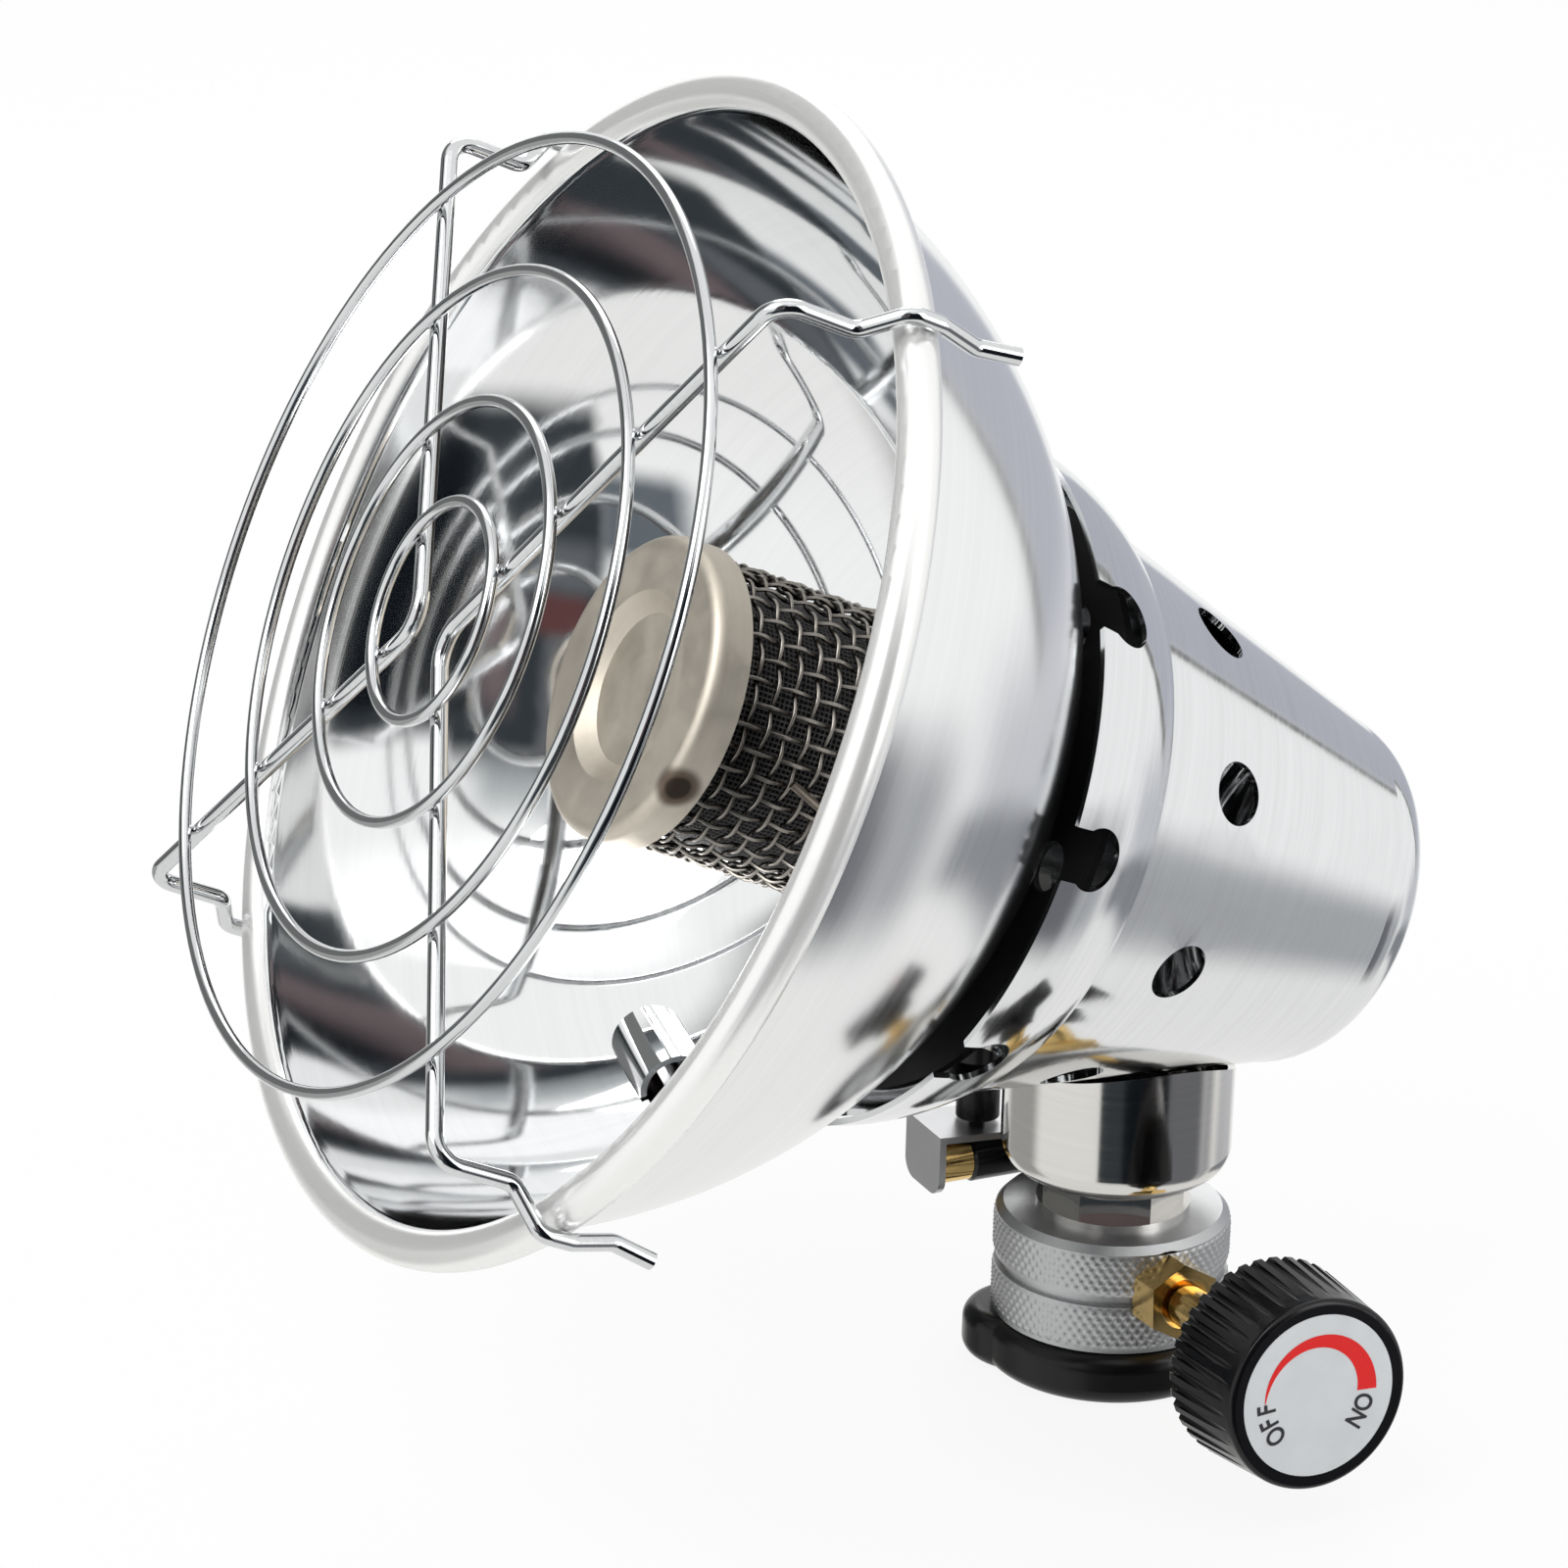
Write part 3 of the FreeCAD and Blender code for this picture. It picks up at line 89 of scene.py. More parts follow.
class Nodes:
    """A material's or world's node tree with short calls for the nodes used here."""

    def __init__(self, tree):
        self.tree = tree
        tree.nodes.clear()

    def node(self, kind, **settings):
        made = self.tree.nodes.new(kind)
        for name, value in settings.items():
            setattr(made, name, value)
        return made

    def link(self, source, target):
        self.tree.links.new(source, target)

    def feed(self, socket, value):
        if isinstance(value, bpy.types.NodeSocket):
            self.link(value, socket)
        else:
            socket.default_value = value

    def math(self, operation, first, second=0.0, third=0.0):
        made = self.node("ShaderNodeMath", operation=operation)
        for socket, value in zip(made.inputs, (first, second, third)):
            self.feed(socket, value)
        return made.outputs[0]

    def vector(self, operation, first, second=(0.0, 0.0, 0.0), output=0):
        made = self.node("ShaderNodeVectorMath", operation=operation)
        self.feed(made.inputs[0], first)
        self.feed(made.inputs[1], second)
        return made.outputs[output]

    def combine(self, x, y, z):
        made = self.node("ShaderNodeCombineXYZ")
        for socket, value in zip(made.inputs, (x, y, z)):
            self.feed(socket, value)
        return made.outputs[0]

    def noise(self, place, scale, detail=3.0, roughness=0.6):
        made = self.node("ShaderNodeTexNoise")
        self.feed(made.inputs["Vector"], place)
        made.inputs["Scale"].default_value = scale
        made.inputs["Detail"].default_value = detail
        made.inputs["Roughness"].default_value = roughness
        return made.outputs[0]

    def ramp(self, value, low, high, start=0.0, end=1.0, smooth=False):
        made = self.node("ShaderNodeMapRange", interpolation_type="SMOOTHSTEP" if smooth else "LINEAR")
        for socket, item in zip(made.inputs, (value, low, high, start, end)):
            self.feed(socket, item)
        return made.outputs[0]

    def mix(self, amount, first, second):
        made = self.node("ShaderNodeMix", data_type="RGBA")
        self.feed(made.inputs["Factor"], amount)
        self.feed(made.inputs["A"], (*first, 1.0) if isinstance(first, tuple) else first)
        self.feed(made.inputs["B"], (*second, 1.0) if isinstance(second, tuple) else second)
        return made.outputs["Result"]

    def bump(self, height, strength, distance, normal=None):
        made = self.node("ShaderNodeBump")
        made.inputs["Strength"].default_value = strength
        made.inputs["Distance"].default_value = distance
        self.link(height, made.inputs["Height"])
        if normal:
            self.link(normal, made.inputs["Normal"])
        return made.outputs[0]

    def place(self):
        return self.node("ShaderNodeTexCoord").outputs["Object"]

    def about_axis(self, base, axis):
        """Distance along an axis and distance from it, for a point of the surface."""
        offset = self.vector("SUBTRACT", self.place(), tuple(base))
        along = self.vector("DOT_PRODUCT", offset, tuple(axis), output=1)
        across = self.vector("CROSS_PRODUCT", offset, tuple(axis))
        away = self.vector("LENGTH", across, output=1)
        return along, away

    def scaled(self, vector, amount):
        made = self.node("ShaderNodeVectorMath", operation="SCALE")
        self.feed(made.inputs[0], vector)
        self.feed(made.inputs["Scale"], amount)
        return made.outputs[0]

    def ring_lines(self, along, away, scale, detail=3.0, roughness=0.6):
        """Noise that runs in rings round an axis."""
        rings = [self.math("MULTIPLY", item, scale) for item in (along, away)]
        return self.noise(self.combine(*rings, 0.0), 1.0, detail, roughness)

    def away_from_axis(self, base, axis):
        """The vector from the nearest point of an axis to a point of the surface."""
        offset = self.vector("SUBTRACT", self.place(), tuple(base))
        along = self.vector("DOT_PRODUCT", offset, tuple(axis), output=1)
        return self.vector("SUBTRACT", offset, self.scaled(tuple(axis), along))

    def surface(self, **values):
        """The shader; an item that is a socket is linked, and any other is set."""
        shader = self.node("ShaderNodeBsdfPrincipled")
        for name, value in values.items():
            if isinstance(value, tuple):
                value = (*value, 1.0)
            self.feed(shader.inputs[name.replace("_", " ")], value)
        output = self.node("ShaderNodeOutputMaterial")
        self.link(shader.outputs[0], output.inputs["Surface"])
        return shader


def new_material(name):
    """A material and the helper for its nodes."""
    material = bpy.data.materials.new(name)
    material.use_nodes = True
    return material, Nodes(material.node_tree)


def spun_metal(name, colour, rough, base, axis, lines, scale=1.0, tint=0.06):
    """Metal with turning or brushing lines round an axis and faint blotches."""
    material, n = new_material(name)
    along, away = n.about_axis(base, axis)
    rings = [n.math("MULTIPLY", item, 1600.0 * scale) for item in (along, away)]
    drift = n.scaled(n.place(), 22.0)
    lines_noise = n.noise(n.vector("ADD", n.combine(*rings, 0.0), drift), 1.0, 3.0, 0.7)
    blotch = n.noise(n.place(), 45.0, 4.0, 0.6)
    dark = tuple(channel * (1 - tint * 2) for channel in colour)
    shade = n.mix(n.ramp(lines_noise, 0.3, 0.7), dark, colour)
    shade = n.mix(n.ramp(blotch, 0.45, 0.75, 0.0, 0.25), shade, tuple(c * (1 - tint) for c in colour))
    spread = n.ramp(n.math("ADD", lines_noise, blotch), 0.7, 1.3, rough * 0.7, rough * 1.35)
    normal = n.bump(lines_noise, lines, 0.00006)
    n.surface(Base_Color=shade, Metallic=1.0, Roughness=spread, Normal=normal)
    return material


def bowl_wall_normal(n, away, radial, facing, outside):
    """The exact normal on the wall's arc, so that the mirror shows no facets, and the mesh's elsewhere."""
    across = n.scaled(n.vector("NORMALIZE", radial), -BOWL_ARC_ACROSS)
    arc_centre = n.vector("ADD", tuple(RIM_CENTRE + AIM * BOWL_ARC_AHEAD), across)
    inward = n.vector("NORMALIZE", n.vector("SUBTRACT", arc_centre, n.place()))
    round_wall = n.scaled(inward, n.math("SUBTRACT", 1.0, n.math("MULTIPLY", outside, 2.0)))
    below_top = n.math("LESS_THAN", away, BOWL_ARC_TOP)
    above_foot = n.math("GREATER_THAN", away, BOWL_ARC_FOOT)
    off_by = n.vector("SUBTRACT", round_wall, facing)
    close = n.math("LESS_THAN", n.vector("LENGTH", off_by, output=1), ARC_CLOSE)
    on_arc = n.math("MULTIPLY", n.math("MULTIPLY", below_top, above_foot), close)
    return n.vector("ADD", facing, n.scaled(off_by, on_arc))


def bowl_metal():
    """Polished bowl: a clear mirror inside, softer outside, with a satin rolled rim."""
    material, n = new_material("reflector_mirror")
    along, away = n.about_axis(RIM_CENTRE, AIM)
    radial = n.away_from_axis(RIM_CENTRE, AIM)
    facing = n.node("ShaderNodeNewGeometry").outputs["Normal"]
    outside = n.math("GREATER_THAN", n.vector("DOT_PRODUCT", radial, facing, output=1), 0.0)
    rim = n.ramp(away, RIM_SATIN_FROM, RIM_SATIN_FROM + 0.3 * MM)
    rings = n.ring_lines(along, away, 900.0, roughness=0.7)
    blotch = n.noise(n.place(), 30.0, 4.0, 0.6)
    streaked = n.ramp(away, STREAKS_FROM, STREAKS_FULL, smooth=True)
    shade = n.mix(n.ramp(rings, 0.35, 0.7), (0.865, 0.87, 0.875), (0.90, 0.905, 0.91))
    shade = n.mix(n.ramp(blotch, 0.45, 0.8, 0.0, 0.3), shade, (0.84, 0.85, 0.855))
    inner = n.math("ADD", n.ramp(rings, 0.3, 0.8, 0.02, 0.04), n.math("MULTIPLY", streaked, 0.04))
    outer = n.ramp(n.math("ADD", rings, blotch), 0.7, 1.3, 0.13, 0.17)
    inside = n.math("SUBTRACT", 1.0, outside)
    spread = n.math("ADD", n.math("MULTIPLY", outside, outer), n.math("MULTIPLY", inside, inner))
    shade = n.mix(rim, shade, (0.94, 0.94, 0.925))
    spread = n.math("MAXIMUM", spread, n.math("MULTIPLY", rim, 0.27))
    relief = n.math("ADD", n.math("MULTIPLY", streaked, 0.7), n.math("MULTIPLY", outside, 0.3))
    smooth_wall = bowl_wall_normal(n, away, radial, facing, outside)
    fine = n.bump(n.math("MULTIPLY", rings, relief), 0.06, 0.00005, smooth_wall)
    satin_share = n.ramp(rim, 0.0, 1.0, 1.0, 0.6)
    n.surface(Base_Color=shade, Metallic=satin_share, Roughness=spread, Normal=fine)
    return material


def cast_metal(name, colour, rough, grain, strength):
    """Metal with a fine even grain."""
    material, n = new_material(name)
    fine = n.noise(n.place(), grain, 3.0, 0.7)
    broad = n.noise(n.place(), 60.0, 4.0, 0.6)
    shade = n.mix(n.ramp(broad, 0.3, 0.7), tuple(c * 0.88 for c in colour), colour)
    spread = n.ramp(broad, 0.3, 0.7, rough * 0.8, rough * 1.2)
    n.surface(Base_Color=shade, Metallic=1.0, Roughness=spread, Normal=n.bump(fine, strength, 0.00008))
    return material


def moulded(name, colour, rough, grain, strength, specular=0.5):
    """Plastic or rubber with a fine moulded grain and faint wear."""
    material, n = new_material(name)
    fine = n.noise(n.place(), grain, 2.0, 0.6)
    broad = n.noise(n.place(), 90.0, 5.0, 0.65)
    worn = tuple(min(c * 1.5, 1.0) for c in colour)
    shade = n.mix(n.ramp(broad, 0.5, 0.8, 0.0, 0.6), colour, worn)
    spread = n.ramp(broad, 0.3, 0.7, rough * 0.85, rough * 1.2)
    shader = n.surface(Base_Color=shade, Roughness=spread, Normal=n.bump(fine, strength, 0.00003))
    shader.inputs["Specular IOR Level"].default_value = specular
    return material


def burner_metal():
    """Warm satin steel of the burner cap, with one heat-browned spot weld on its skirt."""
    material, n = new_material("burner_cap_steel")
    colour = (0.80, 0.735, 0.64)
    along, away = n.about_axis(RIM_CENTRE, AIM)
    streak = n.ring_lines(along, away, 900.0)
    broad = n.noise(n.place(), 110.0, 5.0, 0.65)
    shade = n.mix(n.ramp(broad, 0.3, 0.7), (0.67, 0.61, 0.52), colour)
    shade = n.mix(n.ramp(streak, 0.4, 0.7, 0.0, 0.25), shade, (0.86, 0.81, 0.72))
    reach = n.vector("DISTANCE", n.place(), tuple(HEAD @ SPOT_PLACE), output=1)
    halo = n.ramp(reach, SPOT_EDGE, SPOT_HALO, 0.85, 0.0, smooth=True)
    core = n.ramp(reach, SPOT_CORE, SPOT_EDGE, 0.8, 0.0, smooth=True)
    shade = n.mix(halo, shade, (0.12, 0.075, 0.05))
    shade = n.mix(core, shade, (0.03, 0.022, 0.02))
    fine = n.noise(n.place(), 1400.0, 2.0)
    n.surface(
        Base_Color=shade, Metallic=1.0, Roughness=n.ramp(broad, 0.3, 0.7, 0.46, 0.60),
        Normal=n.bump(fine, 0.3, 0.00005),
    )
    return material


def woven_metal():
    """Steel wire of the coarse mesh, in steel colour where it crosses over and with painted near-black
    shade where it dips.
    """
    material, n = new_material("mesh_wire_steel")
    along, away = n.about_axis(RIM_CENTRE, AIM)
    out_of_painted_shade = n.ramp(away, MESH_RADIUS - MESH_WAVE, MESH_RADIUS + MESH_WAVE, smooth=True)
    broad = n.noise(n.place(), 90.0, 4.0, 0.6)
    steel = n.mix(n.ramp(broad, 0.3, 0.7), (0.27, 0.245, 0.22), (0.40, 0.375, 0.34))
    # Painted shade: the wire turns near-black where it dips inside the mesh radius, under the crossing
    # rings.
    shade = n.mix(out_of_painted_shade, (0.02, 0.018, 0.017), steel)
    n.surface(Base_Color=shade, Metallic=1.0, Roughness=n.ramp(broad, 0.3, 0.7, 0.22, 0.32))
    return material


def fine_mesh_metal():
    """Dark close-woven gauze under the coarse mesh, its gaps painted near-black as shade of the inside seen
    through them.
    """
    material, n = new_material("fine_mesh_steel")
    along, away = n.about_axis(RIM_CENTRE, AIM)
    turned = n.node("ShaderNodeSeparateXYZ")
    offset = n.vector("SUBTRACT", n.place(), tuple(RIM_CENTRE))
    up = HEAD.to_3x3() @ Vector((0, 1, 0))
    height = n.vector("DOT_PRODUCT", offset, tuple(up), output=1)
    n.link(offset, turned.inputs[0])
    angle = n.math("ARCTAN2", height, turned.outputs["X"])
    rings = n.math("SINE", n.math("MULTIPLY", along, 2 * math.pi / GAUZE_PITCH))
    bars = n.math("SINE", n.math("MULTIPLY", angle, GAUZE_BARS))
    weave = n.math("MAXIMUM", rings, bars)
    # Painted shade: the cells between the gauze wires are near-black for the dark inside of the burner; the
    # wires themselves are dark steel.
    shade = n.mix(n.ramp(weave, 0.2, 0.9), (0.006, 0.006, 0.007), (0.085, 0.082, 0.08))
    n.surface(Base_Color=shade, Metallic=1.0, Roughness=0.34, Normal=n.bump(weave, 0.6, 0.0001))
    return material


def printed_label():
    """Light-grey label with a faint satin grain."""
    material, n = new_material("label_grey")
    fine = n.noise(n.place(), 1800.0, 2.0)
    broad = n.noise(n.place(), 120.0, 3.0)
    shade = n.mix(n.ramp(broad, 0.35, 0.65), (0.60, 0.62, 0.635), (0.65, 0.67, 0.685))
    n.surface(Base_Color=shade, Roughness=0.42, Normal=n.bump(fine, 0.12, 0.00002))
    return material


def ink(name, colour):
    """Flat print with faint unevenness."""
    material, n = new_material(name)
    fine = n.noise(n.place(), 2500.0, 2.0)
    shade = n.mix(n.ramp(fine, 0.3, 0.7, 0.0, 0.3), colour, tuple(c * 0.8 for c in colour))
    n.surface(Base_Color=shade, Roughness=0.4)
    return material


# Finishes, one for each CAD node

mirror = bowl_metal()
wire = spun_metal("guard_chrome", (0.74, 0.75, 0.76), 0.07, RIM_CENTRE, AIM, lines=0.05, tint=0.04)
polished = spun_metal(
    "cover_polish", (0.83, 0.84, 0.85), 0.10, RIM_CENTRE, AIM, lines=0.09, scale=0.7, tint=0.04
)
nickel = spun_metal("neck_nickel", (0.74, 0.725, 0.70), 0.11, Vector(), UP, lines=0.06, tint=0.03)
aluminium = cast_metal("valve_aluminium", (0.56, 0.565, 0.57), 0.42, 1300.0, 0.4)
satin = cast_metal("bracket_satin", (0.56, 0.56, 0.57), 0.34, 1000.0, 0.2)
zinc = cast_metal("zinc_steel", (0.58, 0.59, 0.60), 0.28, 1200.0, 0.2)
brass_turned = spun_metal(
    "brass_turned", (0.87, 0.60, 0.23), 0.15, Vector((0, 0, SPINDLE_HEIGHT)), SPINDLE.to_3x3() @ UP,
    lines=0.2, tint=0.10,
)
black_paint = moulded("shield_black", (0.012, 0.012, 0.013), 0.5, 700.0, 0.3)
rubber = moulded("seat_rubber", (0.0045, 0.0045, 0.005), 0.26, 1500.0, 0.08, specular=0.3)
plastic = moulded("knob_plastic", (0.0035, 0.0035, 0.0045), 0.18, 1800.0, 0.08, specular=0.32)
ceramic = moulded("electrode_ceramic_white", (0.80, 0.79, 0.76), 0.2, 900.0, 0.08)
mesh_wire = woven_metal()
electrode_steel = cast_metal("electrode_steel", (0.34, 0.29, 0.24), 0.3, 1500.0, 0.2)
label_grey = printed_label()
red_ink = ink("label_red", (0.76, 0.004, 0.003))
black_ink = ink("label_black", (0.03, 0.03, 0.035))

FINISHES = {
    mirror: ["reflector", "bowl_hood"],
    wire: [
        "guard_ring_outer", "guard_ring_second", "guard_ring_third", "guard_ring_inner",
        "guard_wire_left", "guard_wire_right",
    ],
    burner_metal(): ["burner_cap"],
    fine_mesh_metal(): ["burner_mesh_inner"],
    zinc: ["burner_base", "burner_screws", "burner_nuts", "mixing_tube", "knob_screw", "igniter_spring"],
    electrode_steel: ["electrode_wire"],
    black_paint: ["heat_shield"],
    polished: ["rear_cover"],
    nickel: ["collar", "neck_stem", "neck_nut"],
    aluminium: ["valve_body"],
    satin: ["igniter_bracket"],
    brass_turned: ["gland_nut", "valve_spindle", "jet_holder", "gas_jet", "opening_pin", "igniter_ferrule"],
    rubber: ["cartridge_seat", "socket_seal", "spindle_seal", "lead_sleeve", "igniter_lead"],
    plastic: ["knob", "igniter_body", "igniter_button"],
    ceramic: ["electrode_ceramic"],
    label_grey: ["knob_label"],
}
for finish, nodes in FINISHES.items():
    for node in nodes:
        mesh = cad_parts[node].data
        mesh.materials.clear()
        mesh.materials.append(finish)


# Mesh helpers

def add_piece(name, verts, faces, material, body, smooth=True):
    """A mesh piece that rides on a CAD body."""
    mesh = bpy.data.meshes.new(name)
    mesh.from_pydata(verts, [], faces)
    mesh.update()
    for face in mesh.polygons:
        face.use_smooth = smooth
    mesh.materials.append(material)
    piece = bpy.data.objects.new(name, mesh)
    bpy.context.scene.collection.objects.link(piece)
    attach(piece, body)
    return piece


def add_tube(verts, faces, path, radius, sides, closed):
    """A round wire along a path of close points, added to verts and faces."""
    count = len(path)
    base = len(verts)
    for index, point in enumerate(path):
        before = path[index - 1] if closed or index else path[index]
        after = path[(index + 1) % count] if closed or index < count - 1 else path[index]
        way = (after[0] - before[0]).normalized()
        out = point[1] - way * way.dot(point[1])
        out.normalize()
        side = way.cross(out)
        for turn in range(sides):
            angle = 2 * math.pi * turn / sides
            verts.append(point[0] + (out * math.cos(angle) + side * math.sin(angle)) * radius)
    last = count if closed else count - 1
    for index in range(last):
        start = base + index * sides
        end = base + (index + 1) % count * sides
        for turn in range(sides):
            other = (turn + 1) % sides
            faces.append((start + turn, start + other, end + other, end + turn))
    if not closed:
        faces.append(tuple(base + turn for turn in reversed(range(sides))))
        faces.append(tuple(base + (count - 1) * sides + turn for turn in range(sides)))


# Coarse burner mesh

WEAVE_STEPS = 4
WIRE_SIDES = 6


def weave_point(angle, ahead, wave):
    """A point of a woven wire, with the way outward there."""
    way = HEAD.to_3x3() @ Vector((math.cos(angle), math.sin(angle), 0))
    centre = HEAD @ Vector((0, 0, ahead))
    return centre + way * (MESH_RADIUS + wave * MESH_WAVE), way


def woven_mesh():
    """Wires along the burner that go over and under rings."""
    verts = []
    faces = []
    pitch = (MESH_FRONT - MESH_REAR) / MESH_RINGS
    for bar in range(MESH_BARS):
        angle = 2 * math.pi * bar / MESH_BARS
        path = []
        for step in range(MESH_RINGS * WEAVE_STEPS + 1):
            share = step / WEAVE_STEPS
            path.append(weave_point(angle, MESH_REAR + pitch * share, math.cos(math.pi * (share + bar))))
        add_tube(verts, faces, path, MESH_WIRE, WIRE_SIDES, False)
    for ring in range(MESH_RINGS + 1):
        path = []
        for step in range(MESH_BARS * WEAVE_STEPS):
            angle = 2 * math.pi * step / (MESH_BARS * WEAVE_STEPS)
            wave = -math.cos(math.pi * (step / WEAVE_STEPS + ring))
            path.append(weave_point(angle, MESH_REAR + pitch * ring, wave))
        add_tube(verts, faces, path, MESH_WIRE, WIRE_SIDES, True)
    piece = add_piece("burner_mesh_woven", verts, faces, mesh_wire, "heater")
    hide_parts("burner_mesh_outer")


woven_mesh()


# Knurled bands of the valve body

DRUM_RADIUS = 14.4 * MM
KNURL_DEPTH = 0.28 * MM
KNURL_COUNT = 74
KNURL_SINK = 0.02 * MM
KNURL_SLANT = 0.75
KNURL_SHARPNESS = 0.6
KNURL_STEPS = 4
KNURL_BANDS = ((5.9 * MM, 11.5 * MM), (13.0 * MM, 18.3 * MM))


def knurled_band(name, low, high):
    """A ring whose outside is cut in small diamonds, standing a hair proud of the drum."""
    around = KNURL_COUNT * KNURL_STEPS
    pitch = 2 * math.pi * DRUM_RADIUS / KNURL_COUNT
    rows = max(int((high - low) / (pitch / 5)), 6)
    verts = []
    for row in range(rows + 1):
        height = low + (high - low) * row / rows
        fade = min(min(row, rows - row) / 2, 1.0)
        for step in range(around):
            angle = 2 * math.pi * step / around
            along = angle * KNURL_COUNT
            slant = height / pitch * 2 * math.pi * KNURL_SLANT
            first = 0.5 + 0.5 * math.cos(along + slant)
            second = 0.5 + 0.5 * math.cos(along - slant)
            ridge = (first * second) ** KNURL_SHARPNESS
            radius = DRUM_RADIUS - KNURL_SINK + KNURL_DEPTH * ridge * fade
            verts.append(Vector((radius * math.cos(angle), radius * math.sin(angle), height)))
    faces = []
    for row in range(rows):
        for step in range(around):
            other = (step + 1) % around
            start = row * around
            end = start + around
            faces.append((start + step, start + other, end + other, end + step))
    add_piece(name, verts, faces, aluminium, "heater")


for number, band in enumerate(KNURL_BANDS, start=1):
    knurled_band("knurl_band_%d" % number, *band)


# Dial print: a red crescent that grows from OFF to ON, and the two words

LABEL_FACE = (50.5 - 0.05) * MM
PRINT_LIFT = 0.03 * MM
CRESCENT_OUTER = 7.75 * MM
CRESCENT_START = 179.0
CRESCENT_END = -3.0
CRESCENT_WIDTH = 2.5 * MM
CRESCENT_TIP = 0.08 * MM
CRESCENT_GROWTH = 0.8
CRESCENT_DRAW_IN = 0.6 * MM
CRESCENT_STEPS = 72
LETTER_SIZE = 2.5 * MM * 1.35
LETTER_NARROW = 0.8
LETTER_THICKNESS = 0.01 * MM
LETTER_SWELL = 0.07 * MM


def dial_point(angle, radius, lift):
    """A point of the dial; the angle runs anticlockwise from its right, seen from outside."""
    turn = math.radians(angle)
    return SPINDLE @ Vector((-radius * math.sin(turn), radius * math.cos(turn), LABEL_FACE + lift))


def crescent():
    """The red band, a tip at OFF and full width at ON."""
    verts = []
    for step in range(CRESCENT_STEPS + 1):
        share = step / CRESCENT_STEPS
        angle = CRESCENT_START + (CRESCENT_END - CRESCENT_START) * share
        width = CRESCENT_WIDTH * share ** CRESCENT_GROWTH + CRESCENT_TIP
        outer = CRESCENT_OUTER - CRESCENT_DRAW_IN * (1 - share)
        verts.append(dial_point(angle, outer - width, PRINT_LIFT))
        verts.append(dial_point(angle, outer, PRINT_LIFT))
    faces = []
    for step in range(CRESCENT_STEPS):
        start = 2 * step
        faces.append((start, start + 1, start + 3, start + 2))
    add_piece("dial_crescent", verts, faces, red_ink, "knob_and_spindle", smooth=False)


def dial_word(name, word, middle_angle, advance, radius):
    """Letters set one by one round the dial, their tops outward, read clockwise."""
    for number, letter in enumerate(word):
        angle = middle_angle - (number - (len(word) - 1) / 2) * advance
        curve = bpy.data.curves.new(name, "FONT")
        curve.body = letter
        curve.size = LETTER_SIZE
        curve.align_x = "CENTER"
        curve.align_y = "CENTER"
        curve.extrude = LETTER_THICKNESS
        curve.offset = LETTER_SWELL
        curve.materials.append(black_ink)
        piece = bpy.data.objects.new("%s_%d" % (name, number + 1), curve)
        bpy.context.scene.collection.objects.link(piece)
        face = SPINDLE.to_3x3() @ Matrix.Rotation(math.radians(90), 3, "Z")
        turn = Matrix.Rotation(math.radians(angle - 90), 3, "Z")
        narrow = Matrix.Diagonal((LETTER_NARROW, 1.0, 1.0))
        place = Matrix.Translation(dial_point(angle, radius, PRINT_LIFT))
        piece.matrix_world = place @ (face @ turn @ narrow).to_4x4()
        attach(piece, "knob_and_spindle")


crescent()
dial_word("dial_off", "OFF", 200.0, 15.5, 6.8 * MM)
dial_word("dial_on", "ON", -27.0, 19.0, 6.2 * MM)


# Studio: what polished metal shows, floor, lamps, world and camera

STUDIO_LIGHT = (0.97, 0.975, 0.97)
STUDIO_LOW = (0.88, 0.88, 0.865)
STUDIO_PLAIN = (0.62, 0.62, 0.62)
STUDIO_WHITE = (1.0, 1.0, 1.0)
WAVER = 6.0
FLOOR_HALF = 1.6
FLOOR_GLOW = 0.9
AIM_POINT = (0.0, -0.03, 0.07)
CAMERA_PLACE = Vector((532.35, -300.68, 293.42)) * MM
CAMERA_RIGHT = Vector((0.42357, 0.90560, 0.023))
CAMERA_UP = Vector((-0.31723, 0.12448, 0.9401))
CAMERA_BACK = CAMERA_RIGHT.cross(CAMERA_UP).normalized()
SENSOR = 36.0
FOCAL = 124.3
NEAR_LIMIT = 0.02

# Cards and shades: range of azimuth, range of elevation, softness of both, colour; angles in degrees

STUDIO_CARDS = [
    ((-185, -124), (-16, 48), (6, 8), (0.18, 0.185, 0.185)),
    ((-165, -116), (-46, -14), (8, 6), (0.40, 0.40, 0.39)),
    ((-135, -123), (-10, 40), (3, 5), (0.02, 0.027, 0.03)),
    ((16, 66), (-42, -12), (5, 6), (0.16, 0.165, 0.18)),
    ((64, 79), (-40, -15), (7, 7), (0.40, 0.41, 0.43)),
    ((88, 125), (-30, -12), (8, 8), (0.60, 0.61, 0.64)),
    ((84, 128), (-33, -25), (5, 2), (0.26, 0.27, 0.29)),
    ((109, 139), (-14, 26), (2, 5), (0.48, 0.49, 0.55)),
    ((106, 109), (-14, 24), (1, 4), (0.20, 0.20, 0.19)),
    ((-50, -20), (40, 54), (6, 7), (0.42, 0.45, 0.46)),
    ((-63, -44), (-17, 0), (4, 3), (0.13, 0.15, 0.17)),
    ((-46, 14), (-31, 44), (2, 5), (0.035, 0.042, 0.048)),
    ((-41, -35), (12, 44), (2, 3), (0.12, 0.125, 0.135)),
    ((-43, -33), (8, 17), (2, 2), (0.115, 0.05, 0.05)),
    ((-29, -20), (4, 33), (3, 5), (0.16, 0.125, 0.13)),
    ((-45, -30), (-2, 8), (3, 3), (0.12, 0.13, 0.14)),
    ((-22, 22), (-31, 33), (3, 3), (0.006, 0.008, 0.011)),
    ((-13, 19), (38, 53), (3, 3), (1.0, 1.0, 1.0)),
    ((-130, 60), (60, 95), (12, 6), (1.2, 1.2, 1.2)),
]


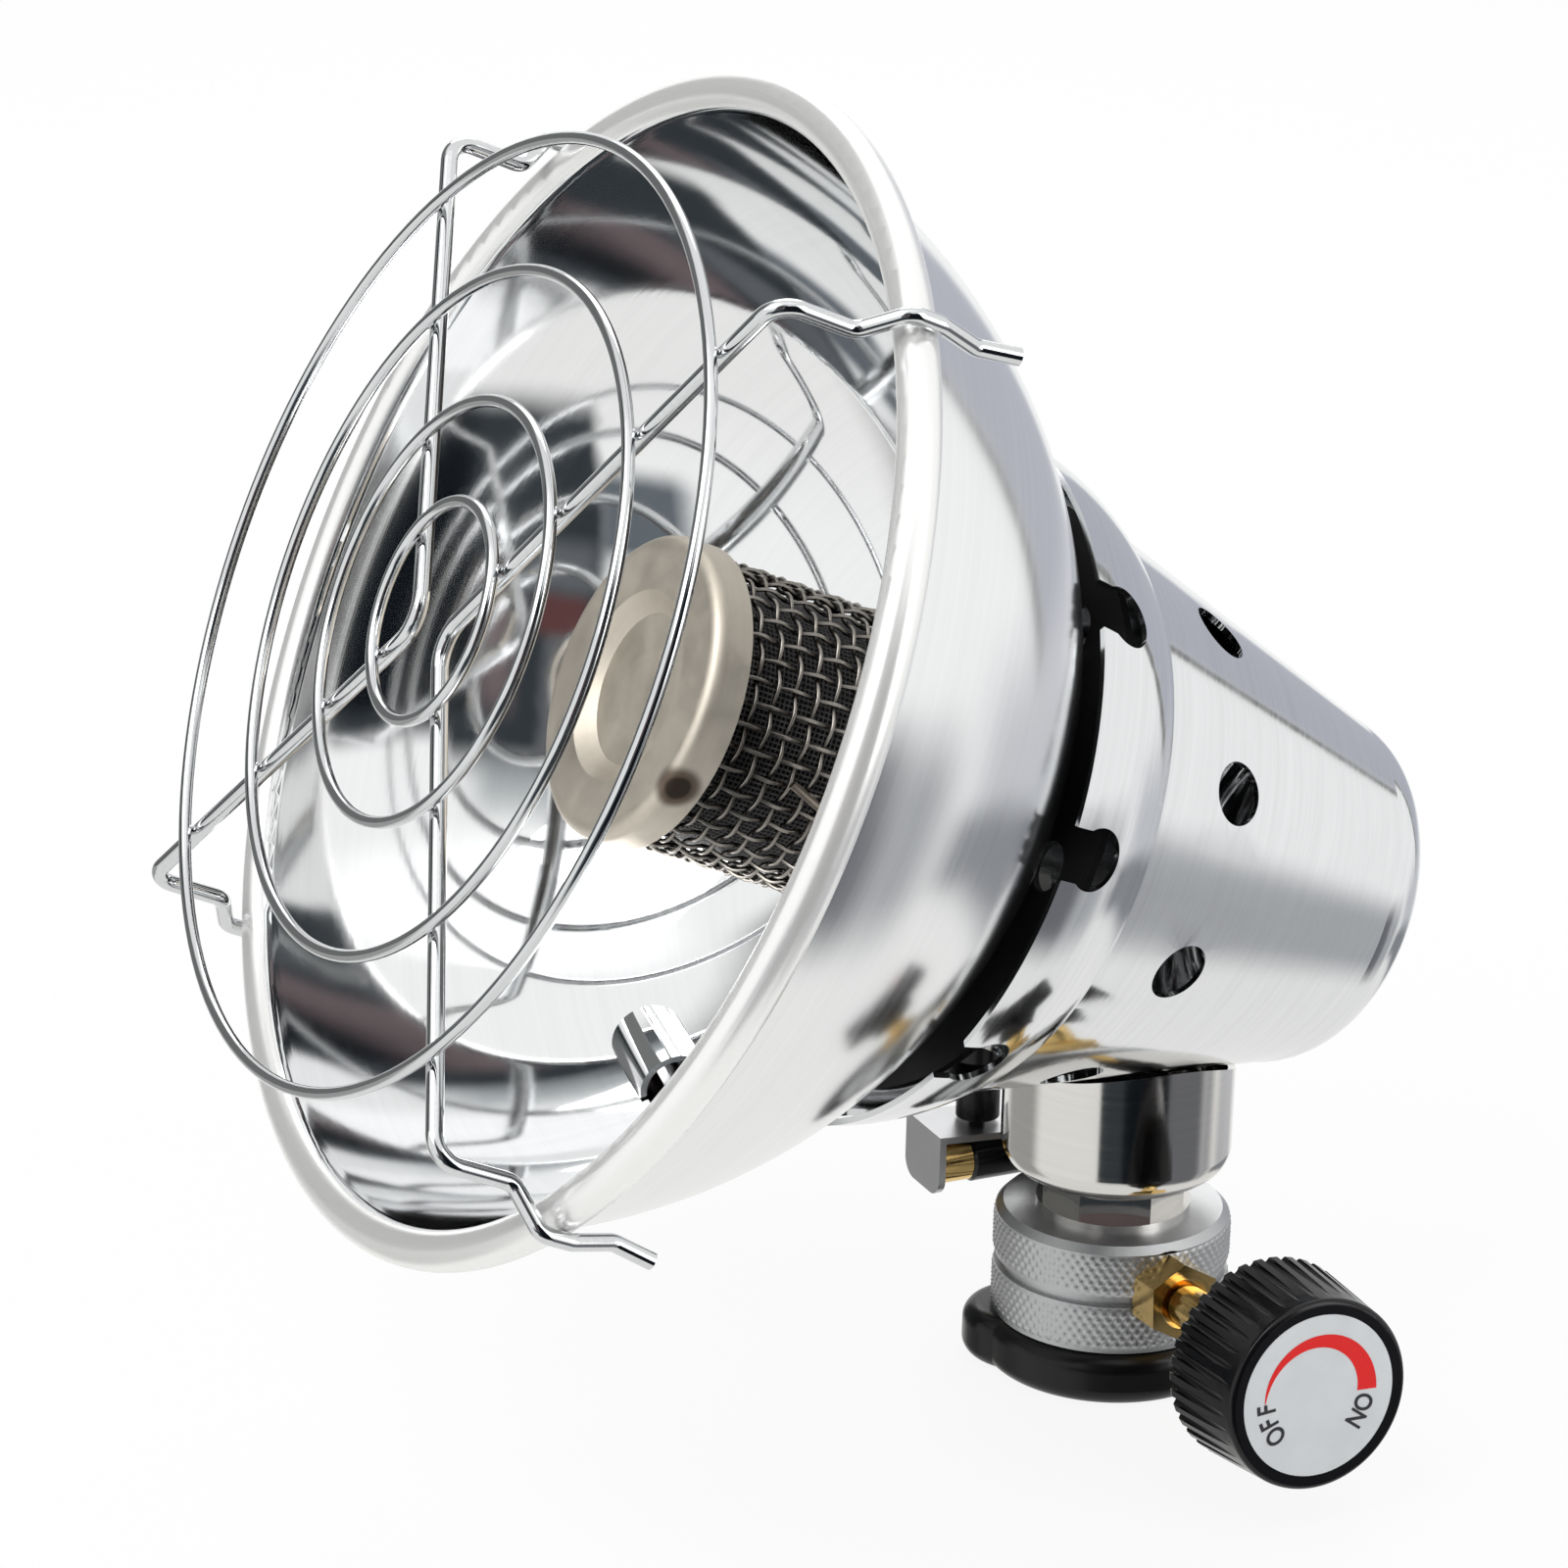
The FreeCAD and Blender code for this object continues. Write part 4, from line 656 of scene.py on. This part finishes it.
def studio_shade(n, way):
    """Colour that the studio shows in one direction, seen from the heater."""
    parts = n.node("ShaderNodeSeparateXYZ")
    n.link(way, parts.inputs[0])
    waver = n.math("MULTIPLY", n.math("SUBTRACT", n.noise(way, 3.0), 0.5), WAVER)
    azimuth = n.math("DEGREES", n.math("ARCTAN2", parts.outputs["Y"], parts.outputs["X"]))
    elevation = n.math("DEGREES", n.math("ARCSINE", parts.outputs["Z"]))
    azimuth = n.math("ADD", azimuth, waver)
    elevation = n.math("SUBTRACT", elevation, n.math("MULTIPLY", waver, 0.5))
    shade = n.mix(n.ramp(elevation, -40.0, -8.0, smooth=True), STUDIO_LOW, STUDIO_LIGHT)
    for azimuths, elevations, (soft_across, soft_up), colour in STUDIO_CARDS:
        amount = 1.0
        across = (azimuth, azimuths, soft_across)
        upward = (elevation, elevations, soft_up)
        for angle, (low, high), soft in (across, upward):
            rise = n.ramp(angle, low - soft, low + soft, smooth=True)
            fall = n.ramp(angle, high - soft, high + soft, 1.0, 0.0, smooth=True)
            amount = n.math("MULTIPLY", amount, n.math("MULTIPLY", rise, fall))
        shade = n.mix(amount, shade, colour)
    return shade


def studio_floor():
    """A pale floor that keeps the heater's shadow; polished metal shows the studio in its place."""
    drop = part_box("cartridge_seat")[0].z
    corners = [(x * FLOOR_HALF, y * FLOOR_HALF, drop) for x, y in ((-1, -1), (1, -1), (1, 1), (-1, 1))]
    mesh = bpy.data.meshes.new("floor")
    mesh.from_pydata(corners, [], [(0, 1, 2, 3)])
    material, n = new_material("floor_pale")
    diffuse = n.node("ShaderNodeBsdfDiffuse")
    diffuse.inputs["Color"].default_value = (0.86, 0.86, 0.86, 1)
    glow = n.node("ShaderNodeEmission")
    seen = n.node("ShaderNodeLightPath")
    blend = n.node("ShaderNodeMixShader")
    n.link(n.math("MULTIPLY", seen.outputs["Is Camera Ray"], FLOOR_GLOW), blend.inputs[0])
    n.link(diffuse.outputs[0], blend.inputs[1])
    n.link(glow.outputs[0], blend.inputs[2])
    output = n.node("ShaderNodeOutputMaterial")
    n.link(blend.outputs[0], output.inputs["Surface"])
    mesh.materials.append(material)
    floor = bpy.data.objects.new("floor", mesh)
    floor.visible_glossy = False
    bpy.context.scene.collection.objects.link(floor)


def lamp(name, place, width, height, power):
    """A soft rectangular lamp aimed at the heater."""
    light = bpy.data.lights.new(name, "AREA")
    light.shape = "RECTANGLE"
    light.size = width
    light.size_y = height
    light.energy = power
    item = bpy.data.objects.new(name, light)
    item.location = place
    item.rotation_euler = (Vector(AIM_POINT) - Vector(place)).to_track_quat("-Z", "Y").to_euler()
    bpy.context.scene.collection.objects.link(item)


def studio_world():
    """Plain grey for diffuse light, the studio for polished metal, and white for the camera."""
    world = bpy.data.worlds.new("studio")
    bpy.context.scene.world = world
    world.use_nodes = True
    n = Nodes(world.node_tree)
    shade = studio_shade(n, n.node("ShaderNodeTexCoord").outputs["Generated"])
    seen = n.node("ShaderNodeLightPath")
    plain = n.mix(seen.outputs["Is Glossy Ray"], STUDIO_PLAIN, shade)
    final = n.mix(seen.outputs["Is Camera Ray"], plain, STUDIO_WHITE)
    background = n.node("ShaderNodeBackground")
    n.link(final, background.inputs["Color"])
    output = n.node("ShaderNodeOutputWorld")
    n.link(background.outputs[0], output.inputs["Surface"])


def camera():
    """The photograph's viewpoint."""
    data = bpy.data.cameras.new("camera")
    data.sensor_width = SENSOR
    data.lens = FOCAL
    data.clip_start = NEAR_LIMIT
    item = bpy.data.objects.new("camera", data)
    up = CAMERA_BACK.cross(CAMERA_RIGHT).normalized()
    turn = Matrix((CAMERA_RIGHT.normalized(), up, CAMERA_BACK)).transposed()
    item.matrix_world = Matrix.Translation(CAMERA_PLACE) @ turn.to_4x4()
    bpy.context.scene.collection.objects.link(item)
    bpy.context.scene.camera = item


studio_floor()
lamp("key", place=(0.15, -0.75, 0.95), width=0.7, height=0.7, power=6.0)
lamp("fill", place=(0.9, 0.55, 0.5), width=0.5, height=0.9, power=3.0)
lamp("rim", place=(-0.7, 0.3, 0.8), width=0.6, height=0.6, power=3.0)
studio_world()
camera()
bpy.context.scene.view_settings.view_transform = "Standard"
